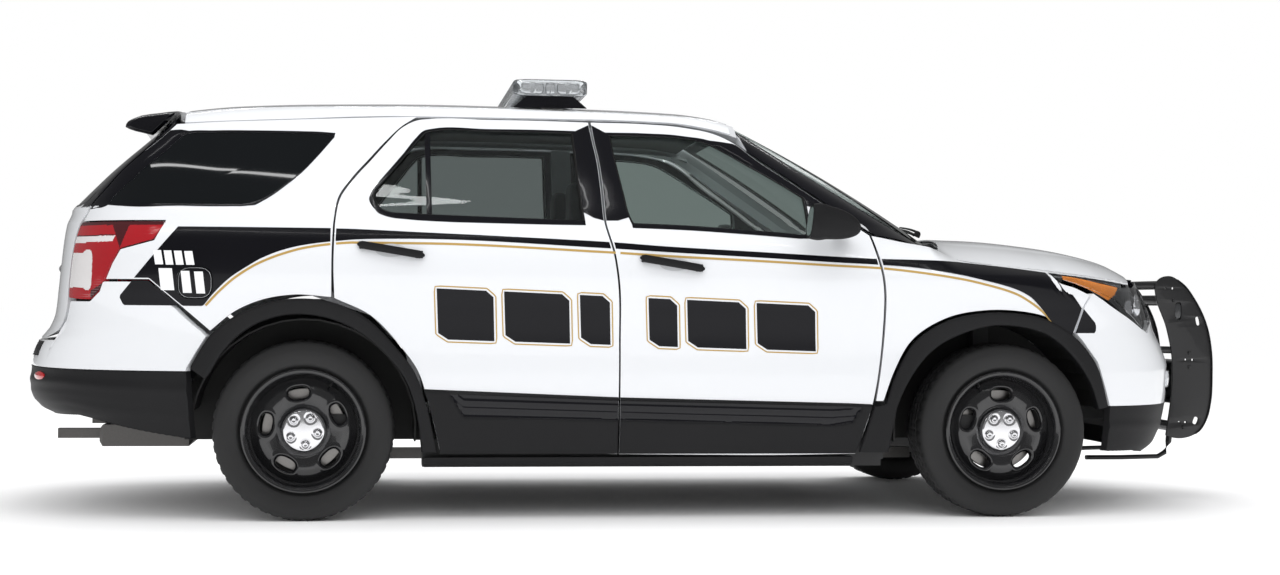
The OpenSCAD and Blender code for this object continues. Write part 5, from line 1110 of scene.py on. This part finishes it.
def patch(name, corners, s, body, material):
    """Film inside straight edges from corner to corner."""
    c = np.asarray(corners, float)
    edge = np.concatenate([np.linspace(p, q, 10, endpoint=False) for p, q in zip(c, np.roll(c, -1, 0))])
    return covering(name, edge, s, body, material)
top = lambda x: np.where(x > 1639, 1014-(x-1639)*1.051,
    np.minimum(smooth(x, BAND_TOP[:-1]), smooth(x, HOOD_SIDE)-6+200*(x < 1200)))
low = lambda x: smooth(x, BAND_LOW)
seam = lambda x: lin(x, [[-2175,952],[-2034,952],[-1896,838],[-1795,752]])
front_door_edges = ([[953,-173],[1072,-190],[1190,-219]], [[936,906],[1054,886],[1160,861]])
rear_door_edges = ([[900,-1310],[1120,-1311],[1205,-1307]], [[953,-191],[1072,-209],[1190,-239]])
fender_front = [[761,1731],[768,1734],[868,1771],[921,1805],[948,1805],[1020,1805]]
for side, s in SIDES:
    door_f, door_r = f"door_front_{side}", f"door_rear_{side}"
    film(f"band_door_front_{side}", s, door_f, film_black, low, top, *front_door_edges, 90, 6)
    film(f"band_door_rear_{side}", s, door_r, film_black, low, top, *rear_door_edges, 90, 6)
    film(f"band_fender_{side}", s, "body", film_black, low, top, [[936,926],[1054,907],[1070,903]],
        [[z, min(x, 1639+(1014-z)/1.051+.1)] for z, x in fender_front], 130, 26, 2.6)
    patch(f"band_bumper_{side}", [[1744,763],[1781,864],[1836,807],[1841,794],[1841,774],[1834,763]], s, "body",
        film_black)
    quarter_band = film(f"band_quarter_{side}", s, "body", film_black,
        lambda x: np.where(x > -1823, low(x), np.maximum(848, seam(x)+5)), lambda x: 1161+0*x,
        [[848,-2094],[957,-2094],[1161,-1926]], [[1107,-1331],[1161,-1331]], 110, 22)
    if side == "right":
        cut_out(quarter_band, flap_loop(1.085), -700, -1150)
        edge = flap_loop(.985)
        edge[:, 1] = np.maximum(edge[:, 1], np.where(edge[:, 0] > -1823, low(edge[:, 0])+1, 0))
        covering("band_fuel_door", edge, s, "fuel_door", film_black)
    patch(f"band_rear_bumper_{side}", [[-1916,849],[-2038,946],[-2102,946],[-2150,889],[-2152,878],[-2140,855],
        [-2133,849]], s, "body", film_black)
    def line(name, body, lo, hi, n):
        """Thin gold line of one width, square to its own run."""
        x = np.linspace(lo, hi, n)
        z = smooth(x, GOLD)
        d = unit(np.stack([np.gradient(x), np.gradient(z)], 1))
        t = np.linspace(-4.6, 4.6, 3)[None, :]
        x, z = x[:, None]-d[:, 1:]*t, z[:, None]+d[:, :1]*t
        flank_shell(name, x, z, s, -.7, -.3, body, film_gold)
    line(f"gold_line_fender_{side}", "body", 912, 1634, 120)
    line(f"gold_line_door_front_{side}", door_f, -177, 900, 90)
    line(f"gold_line_door_rear_{side}", door_r, -1309, -196, 90)
    line(f"gold_line_quarter_{side}", "body", -1813, -1331, 120)
    # plain blocks with cut corners, each inside a gold outline
    for k, (x0, x1) in enumerate(((-890, -680), (-622, -376), (-318, -212), (-40, 62), (118, 344), (404, 632))):
        body = door_r if k < 3 else door_f
        zt = lambda x: 926-.037*(x+905)
        zb = lambda x: 722-.026*(x+905)
        cut = 26
        pts = [[x0+cut, zb(x0)], [x1, zb(x1)], [x1-6, zt(x1)-cut], [x1-cut-10, zt(x1)], [x0-22, zt(x0)],
            [x0-14, zb(x0)+cut]]
        loop = np.concatenate([np.linspace(pts[i], pts[(i+1) % 6], 14, endpoint=False) for i in range(6)])
        covering(f"block_{k}_{side}", loop, s, body, film_black)
        d = np.roll(loop, -1, 0)-np.roll(loop, 1, 0)
        away = unit(np.stack([d[:, 1], -d[:, 0]], 1))
        away *= np.sign(((loop-loop.mean(0))*away).sum(1))[:, None]
        band = loop[None]+away[None]*np.array([7.0, 9.5, 12.0])[:, None, None]
        flank_shell(f"block_outline_{k}_{side}", band[..., 0], band[..., 1], s, -.7, -.3, body, film_gold, wrap=True)
    for k, (x0, x1, z0, z1) in enumerate(((-2010, -1978, 1010, 1066), (-1968, -1938, 1009, 1065),
        (-1928, -1898, 1009, 1064), (-1888, -1856, 1009, 1063), (-1987, -1934, 909, 995), (-1900, -1866, 899, 985),
        (-1848, -1814, 897, 983))):
        u, v = np.meshgrid(np.linspace(0, 1, 12), np.linspace(0, 1, 10), indexing="ij")
        x, z = x0+(x1-x0)*u-10*v, z0+(z1-z0)*v
        flank_shell(f"white_bar_{k}_{side}", x, z, s, -1.3, -.9, "fuel_door" if side == "right" and k > 4 else "body",
            film_white)

# ---- Light bar: a clear lens over rows of bright cells on a black base, strapped to the
# ---- roof by a hook at each end.
bar_cells = finish("bright_reflector_cells", (0.78, 0.80, 0.82), 0.2, 0.12, 160, 0.1, 0.0002, Metallic=0.9)
bar_lens = finish("light_bar_lens", (0.93, 0.945, 0.95), 0.03, 0.03, 90, 0.03, 0.00004, Transmission_Weight=1.0,
    IOR=1.22)
base_z = float(smooth(-430, ROOF_TOP))+3
a = np.linspace(0, 2*np.pi, 64, endpoint=False)
def bar_section(y, half, low, high, power=5.0):
    """Rounded box section of the bar at each y: half length along the car, low and high edges."""
    r = squarish(a, power)
    return points(-430+half[:, None]*(r*np.cos(a))[None], y[:, None],
        (low+high)[:, None]/2+((high-low)/2)[:, None]*(r*np.sin(a))[None])
y = np.concatenate([[-589, -586, -578, -560], np.linspace(-535, 535, 40), [560, 578, 586, 589]])
end = np.clip((590-np.abs(y))/30, 0.02, 1)**.35
loft("light_bar_lens", bar_section(y, 128+29*end, base_z+9+6*(1-end), base_z+58+23*end, 7.0), "body", bar_lens,
    stands_for="light_bar", bevel=1.0)
ym = np.linspace(-572, 572, 12)
for k in range(11):
    y2 = np.array([ym[k]+3, ym[k]+6, ym[k+1]-6, ym[k+1]-3])
    shape = bar_section(y2, np.array([134, 140, 140, 134.]), np.full(4, base_z+15),
        base_z+np.array([68, 72, 72, 68.]), 9)
    dent = np.clip(1-np.abs(shape[..., 2]-base_z-42)/20, 0, 1)**.5
    shape[..., 0] += -np.sign(shape[..., 0]+430)*16*dent*(np.abs(shape[..., 0]+430) > 80)
    loft(f"light_bar_cells_{k}", shape, "body", bar_cells, sharp=25)
    for e, y_end in (("near", -572), ("far", 572)):
        if (e == "near" and k == 0) or (e == "far" and k == 10):
            for j, (x_mid, w) in enumerate(((-505, 48), (-430, 20), (-355, 48))):
                face = bar_section(np.array([y_end, y_end*1.006, y_end*1.012]), np.array([w, w*.9, w*.3]),
                    np.full(3, base_z+20), np.full(3, base_z+66), 4)
                face[..., 0] += x_mid+430
                loft(f"light_bar_end_{e}_{j}", face, "body", bar_cells, sharp=25)
# base: a shallow tray whose ends spread down to follow the roof's fall
y = np.linspace(-574, 574, 81)
fall = np.clip((np.abs(y)-470)/90, 0, 1)
foot = np.minimum(base_z+1, smooth(-430+0*y, ROOF_TOP)-CROWN*y*y+6+7*(1-fall))
foot = np.where(np.abs(y) < 462, base_z+1, foot)
spread = 108+46*np.clip((base_z+1-foot)/36, 0, 1)
loop = np.array([[-1, 0, 0], [-1, 0, 3], [-.86, 1, -2], [-.84, 1, 0], [.84, 1, 0], [.86, 1, -2], [1, 0, 3],
    [1, 0, 0]])
tray = points(-430+np.where(loop[None, :, 1] > 0, 118*loop[None, :, 0], spread[:, None]*loop[None, :, 0]), y[:, None],
    np.where(loop[None, :, 1] > 0, base_z+8, foot[:, None])+loop[None, :, 2])
loft("light_bar_base", tray, "body", gloss_black, bevel=1.0, sharp=30)
for side, s in SIDES:
    # hook: a bent steel strap from under the bar over the edge of the roof
    roof_at = lambda y: float(smooth(-430, ROOF_TOP))-CROWN*y*y
    path = np.array([[536, roof_at(536)+5.5], [576, roof_at(576)+5], [612, roof_at(612)+5], [640, roof_at(640)+4],
        [656, roof_at(652)-2], [664, 1664], [669, 1650]])
    p = spaced(path, 30)
    x = np.linspace(-470, -380, 9)[None, :]
    grid = lambda d: points(x, s*(p[:, :1]+d), p[:, 1:]+d*.8)
    shell(f"light_bar_hook_{side}", grid(2.6), grid(0), "body", disc_steel, bevel=.8)

# ---- Push bumper: two laser-cut plates joined by tubes and a folded channel, powder
# ---- coated black and bolted to brackets under the bumper.
powder = finish("black_powder_coat", (0.012, 0.012, 0.013), 0.42, 0.12, 1100, 0.3, 0.00012, Coat_Weight=0.25)
PLATE = [[2418,1016],[2378,1006],[2354,980],[2356,932],[2409,779],[2436,640],[2436,513],[2408,293],[2447,281],
    [2517,286],[2566,312],[2602,370],[2620,446],[2626,560],[2622,680],[2600,790],[2545,905],[2480,985]]
def cut_plate(name, outline, holes, y, thick, body, material):
    """Flat plate in the x-z plane with rounded cut-outs, drawn as filled curves and then made a mesh."""
    c = bpy.data.curves.new(name+"_cut", "CURVE")
    c.dimensions, c.fill_mode = "2D", "BOTH"
    c.extrude, c.bevel_depth, c.bevel_resolution = (thick/2-1.2)*.001, .0012, 1
    c.offset = -.0012
    for loop in [outline]+holes:
        s2 = c.splines.new("POLY")
        s2.points.add(len(loop)-1)
        s2.points.foreach_set("co", np.concatenate([loop*.001, np.zeros((len(loop), 1)), np.ones((len(loop), 1))],
            1).ravel())
        s2.use_cyclic_u = True
    tmp = bpy.data.objects.new(name+"_cut", c)
    bpy.context.collection.objects.link(tmp)
    m = bpy.data.meshes.new_from_object(tmp.evaluated_get(bpy.context.evaluated_depsgraph_get()))
    bpy.data.objects.remove(tmp)
    co = np.zeros(len(m.vertices)*3)
    m.vertices.foreach_get("co", co)
    co = co.reshape(-1, 3)*1000
    q = np.stack([co[:, 0], y+co[:, 2], co[:, 1]], 1)
    faces = [list(p.vertices) for p in m.polygons]
    key = np.unique(np.round(q, 3), axis=0, return_index=True, return_inverse=True)
    faces = [[int(key[2].ravel()[i]) for i in f] for f in faces]
    faces = [f for f in faces if len(set(f)) == len(f)]
    return piece(name, q[key[1]], faces, body, material, sharp=35)
def slot_loop(cx, cz, w, h, lean=0.0):
    """Rounded slot: a squarish oval leaned over by an angle in degrees."""
    b = np.linspace(0, 2*np.pi, 28, endpoint=False)
    k = squarish(b, 3.5)
    x, z = w*k*np.cos(b), h*k*np.sin(b)
    l = np.radians(lean)
    return np.stack([cx+x*np.cos(l)-z*np.sin(l), cz+x*np.sin(l)+z*np.cos(l)], 1)
outline = trace(PLATE, 8, sharp=75)
holes = [slot_loop(2463, 858, 15, 40), slot_loop(2556, 812, 9, 20, 12), slot_loop(2548, 360, 11, 17, -20)]
for row, xs in ((636, (2500, 2532)), (352, (2470, 2500)), (960, (2400, 2436))):
    holes += [slot_loop(x, row, 5, 5) for x in xs]
for side, s in SIDES:
    cut_plate(f"push_plate_{side}", outline, holes, s*300, 12, "body", powder)
    edge = outline[(outline[:, 0] > 2455) & (outline[:, 1] > 300)]
    edge = edge[np.argsort(-edge[:, 1])]
    t = np.linspace(-18, 14, 6)[None, :]
    grid = lambda d: points(edge[:, :1]+d*.4-1, s*(300+t), edge[:, 1:]+d*.2)
    shell(f"push_flange_{side}", grid(0), grid(-5), "body", powder, bevel=1.0)
    sweep(f"push_stay_upper_{side}", np.array([[2180, s*284, 966], [2240, s*284, 970], [2300, s*285, 972],
        [2372, s*286, 972]]), 15, "body", powder, n=24)
    sweep(f"push_stay_middle_{side}", np.array([[2330, s*284, 682], [2380, s*284, 681], [2442, s*285, 680]]), 16,
        "body", powder, n=24)
    sweep(f"push_bracket_{side}", np.array([[2040, s*278, 192], [2200, s*278, 192], [2380, s*278, 196],
        [2412, s*278, 214], [2430, s*279, 262], [2436, s*280, 330]]), [13, 13, 13, 14, 16, 18], "body", powder, n=20,
        squash=(1.1, .8))
    lamp = slot_loop(2463, 858, 19, 44)
    mid = lamp.mean(0)
    rings = [np.stack([(mid+(lamp-mid)*k)[:, 0], s*d+0*lamp[:, 0], (mid+(lamp-mid)*k)[:, 1]], 1)
        for k, d in ((1, 280), (1, 293), (.78, 294), (.74, 302), (.5, 303.5), (.02, 304))]
    loft(f"push_lamp_{side}", np.stack(rings), "body", bezel)
    for k, (x, z) in enumerate(((2516, 668), (2516, 604), (2440, 905), (2490, 330))):
        bolt = np.array([[x, s*d, z] for d in (305, 309, 313, 314.5)])
        sweep(f"push_bolt_{k}_{side}", bolt, [9, 9, 7.5, 3], "body", dark_metal, n=6)
for k, (x, z, r) in enumerate(((2452, 905, 24), (2500, 325, 24), (2420, 975, 20))):
    sweep(f"push_tube_{k}", np.stack([x+0*np.linspace(0, 1, 24), np.linspace(-296, 296, 24),
        z+0*np.linspace(0, 1, 24)], 1), r, "body", powder, n=32)
y = np.linspace(-293, 293, 30)
channel = trace([[2446,628],[2590,628],[2597,620],[2597,446],[2590,438],[2446,438]], 5, closed=False, sharp=20)
d = unit(np.gradient(channel, axis=0))
grid = lambda k: points((channel[:, 0]+d[:, 1]*k)[None], y[:, None], (channel[:, 1]-d[:, 0]*k)[None])
shell("push_channel", grid(0), grid(6), "body", powder, stands_for="push_bumper", bevel=1.0)
for k, z in enumerate((470, 533, 596)):
    t = np.linspace(0, 1, 9)
    y = np.linspace(-270, 270, 40)
    pad = lambda d: points(2600+d*np.sin(np.pi*np.clip(t, .05, .95))[None]**.6, y[:, None], z-20+40*t[None])
    shell(f"push_pad_{k}", pad(9), pad(-1), "body", rubber, bevel=.8)

# ---- Cabin: soft-skinned dashboard, padded seats with sewn channels, a rimmed steering
# ---- wheel and carpet.
dash_skin = finish("dashboard_skin", (0.03, 0.03, 0.032), 0.6, 0.12, 1300, 0.3, 0.0003)
seat_cloth = finish("seat_cloth", (0.045, 0.045, 0.05), 0.85, 0.1, 2200, 0.5, 0.0006, Sheen_Weight=0.25)
carpet = finish("carpet", (0.02, 0.02, 0.022), 0.95, 0.05, 1800, 0.6, 0.0015, Sheen_Weight=0.2)
profile = spaced([[1072,1070],[1040,1108],[960,1122],[900,1124],[800,1116],[740,1086],[715,1030],[713,990],[728,930],
    [742,880],[780,830],[820,802],[940,780],[1068,764]], 60)
y = np.linspace(-698, 698, 90)
vents = 3*np.abs(np.sin(y[:, None]/9))*np.exp(-((profile[:, 1]-1010)/26)**4)[None,
    :]*(np.exp(-((np.abs(y)-600)/60)**6)+np.exp(-((np.abs(y)-90)/60)**6))[:, None]
grid = points(profile[None, :, 0]+vents, y[:, None], profile[None, :, 1])
loft("dashboard_body", grid, "body", dash_skin, stands_for="dashboard", sharp=60)
hood_x = np.linspace(716, 868, 20)
t = np.linspace(0, np.pi, 24)[None, :]
arch = lambda k: points(hood_x[:, None], 370-(118-k)*np.cos(t),
    1084+(54-k)*np.sin(t)*np.cos((hood_x[:, None]-716)/170))
shell("instrument_hood", arch(0), arch(5), "body", dash_skin)
def cushion(name, centre, size, lean, channels, cloth=seat_cloth, crown=0.10):
    """Stuffed block: a superellipsoid whose faces bulge between sewn channels. lean tips it back
    about the car's cross axis, in degrees."""
    a, b = np.meshgrid(np.linspace(-np.pi/2+.02, np.pi/2-.02, 46), np.linspace(0, 2*np.pi, 84, endpoint=False),
        indexing="ij")
    power = lambda c, e: np.sign(c)*np.abs(c)**e
    x = power(np.cos(a), .34)*power(np.cos(b), .42)
    y = power(np.cos(a), .34)*power(np.sin(b), .42)
    z = power(np.sin(a), .34)
    sewn = sum(np.exp(-((y-c)/.035)**2) for c in channels)
    z = z*(1+crown*(1-x*x)*(1-y*y)-.10*sewn*(np.abs(z) > .55))
    q = points(x*size[0], y*size[1], z*size[2])
    l = np.radians(lean)
    q = points(q[..., 0]*np.cos(l)+q[..., 2]*np.sin(l), q[..., 1], q[..., 2]*np.cos(l)-q[..., 0]*np.sin(l))+centre
    o = loft(name, q, "body", cloth, sharp=80)
    return o
for side, s in SIDES:
    y = s*385
    base = cushion(f"front_seat_{side}_cushion", (195, y, 535), (245, 245, 62), -3, (-.55, .55))
    if side == "left":
        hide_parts("front_seats")
    cushion(f"front_seat_{side}_back", (-168, y, 850), (62, 232, 318), 0, (-.55, .55))
    cushion(f"front_seat_{side}_headrest", (-303, y, 1296), (34, 122, 84), 0, ())
    for k in (-50, 50):
        sweep(f"front_seat_{side}_headrest_post_{k+50}", np.array([[-292, y+k, z] for z in (1150, 1180, 1215, 1230)]),
            6, "body", chrome, n=12)
    loft(f"front_seat_{side}_frame", bar_loop([[-20, y, 390], [0, y, 390], [380, y, 390], [400, y, 390]],
        [[190, 70], [205, 84], [205, 84], [190, 70]], 5), "body", dash_skin)
rear = cushion("rear_seat_cushion", (-820, 0, 560), (240, 592, 58), -3, (-.64, -.33, 0, .33, .64))
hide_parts("rear_seat")
cushion("rear_seat_back", (-1180, 0, 860), (56, 590, 300), 0, (-.64, -.33, 0, .33, .64))
for k, y in enumerate((-390, 390)):
    cushion(f"rear_headrest_{k}", (-1300, y, 1262), (30, 116, 62), 0, ())
# front and rear backs lean: shear them rearward with height
for o in bpy.data.objects:
    if o.name.startswith(("front_seat_left_back", "front_seat_right_back", "rear_seat_back")):
        co = np.zeros(len(o.data.vertices)*3)
        o.data.vertices.foreach_get("co", co)
        co = co.reshape(-1, 3)
        co[:, 0] -= (co[:, 2]-0.85)*(0.36 if "front" in o.name else 0.30)
        o.data.vertices.foreach_set("co", co.ravel())
        o.data.update()
hub, tilt = np.array([535.0, 370, 1003]), np.radians(-68)
def on_column(p):
    """From the steering wheel's own plane to the car: tipped back about the cross axis."""
    p = np.asarray(p, float)
    return points(hub[0]+p[..., 0]*np.cos(tilt)+p[..., 2]*np.sin(tilt), hub[1]+p[..., 1],
        hub[2]-p[..., 0]*np.sin(tilt)+p[..., 2]*np.cos(tilt))
u, v = np.linspace(0, 2*np.pi, 120, endpoint=False)[:, None], np.linspace(0, 2*np.pi, 20, endpoint=False)[None, :]
r = 176+(13.5+.8*np.cos(u*6))*np.cos(v)
piece("steering_wheel_rim", on_column(points(r*np.cos(u), r*np.sin(u), 13.5*np.sin(v))), cells(120, 20, True, True),
    "steering_wheel", dash_skin, stands_for="steering_wheel")
rr, aa = np.array([2, 30, 50, 60, 65, 65, 60, 2.0])[:, None], np.linspace(0, 2*np.pi, 60, endpoint=False)[None, :]
zz = np.array([18, 17, 14, 9, 2, -8, -13, -14.0])[:, None]
loft("steering_wheel_hub", on_column(points(rr*np.cos(aa), rr*np.sin(aa)*.9, zz)), "steering_wheel", dash_skin)
for k, ang in enumerate((90, 270, 0)):
    c, sn = np.cos(np.radians(ang)), np.sin(np.radians(ang))
    r = np.linspace(48, 168, 12)
    width = 17-5*np.sin(np.pi*(r-48)/120)
    b = np.linspace(0, 2*np.pi, 16, endpoint=False)[None, :]
    w = width[:, None]*np.cos(b)
    sweep_p = points(r[:, None]*c-w*sn, r[:, None]*sn+w*c, 5*np.sin(b)-4)
    loft(f"steering_wheel_spoke_{k}", on_column(sweep_p), "steering_wheel", dash_skin)
x, y = np.meshgrid(np.linspace(-640, 955, 30), np.linspace(-690, 690, 30), indexing="ij")
floor_z = 300.6+6*np.exp(-((np.abs(y)-700)/60)**2)
shell("floor_carpet", points(x, y, floor_z+1.2*np.sin(x*.3)*np.sin(y*.3)+2), points(x, y, 300.2), "body", carpet)
x, y = np.meshgrid(np.linspace(-2310, -812, 30), np.linspace(-600, 600, 25), indexing="ij")
shell("cargo_carpet", points(x, y, 503+1.0*np.sin(x*.25)*np.sin(y*.25)), points(x, y, 500.2), "body", carpet)

# ---- Underside: undercoated steel, a plated muffler and the dark liners of the wheel
# ---- openings. These keep the built shapes and take their own finishes.
for node, look in {"underbody": dark_metal, "front_structure": dark_metal, "engine": dark_metal,
    "front_subframe": dark_metal, "rear_axle": dark_metal, "exhaust": exhaust_metal, "wheel_housings": rubber,
    "rocker_trim": trim_black, "knuckle_left": dark_metal, "knuckle_right": dark_metal}.items():
    kept = frame["nodes"][node].data.materials
    kept.clear()
    kept.append(look)

# ---- Floor of the studio.
floor_look = finish("studio_floor", (0.96, 0.96, 0.965), 0.55, 0.05, 6, 0.01, 0.00001, Specular_IOR_Level=0.0)
x, y = np.meshgrid(np.linspace(-80, 80, 9), np.linspace(-60, 120, 9), indexing="ij")
ground = bpy.data.meshes.new("studio_floor")
ground.from_pydata(points(x, y, 0*x-.0005).reshape(-1, 3).tolist(), [], cells(9, 9).tolist())
ground.materials.append(floor_look)
sheet = bpy.data.objects.new("studio_floor", ground)
bpy.context.collection.objects.link(sheet)
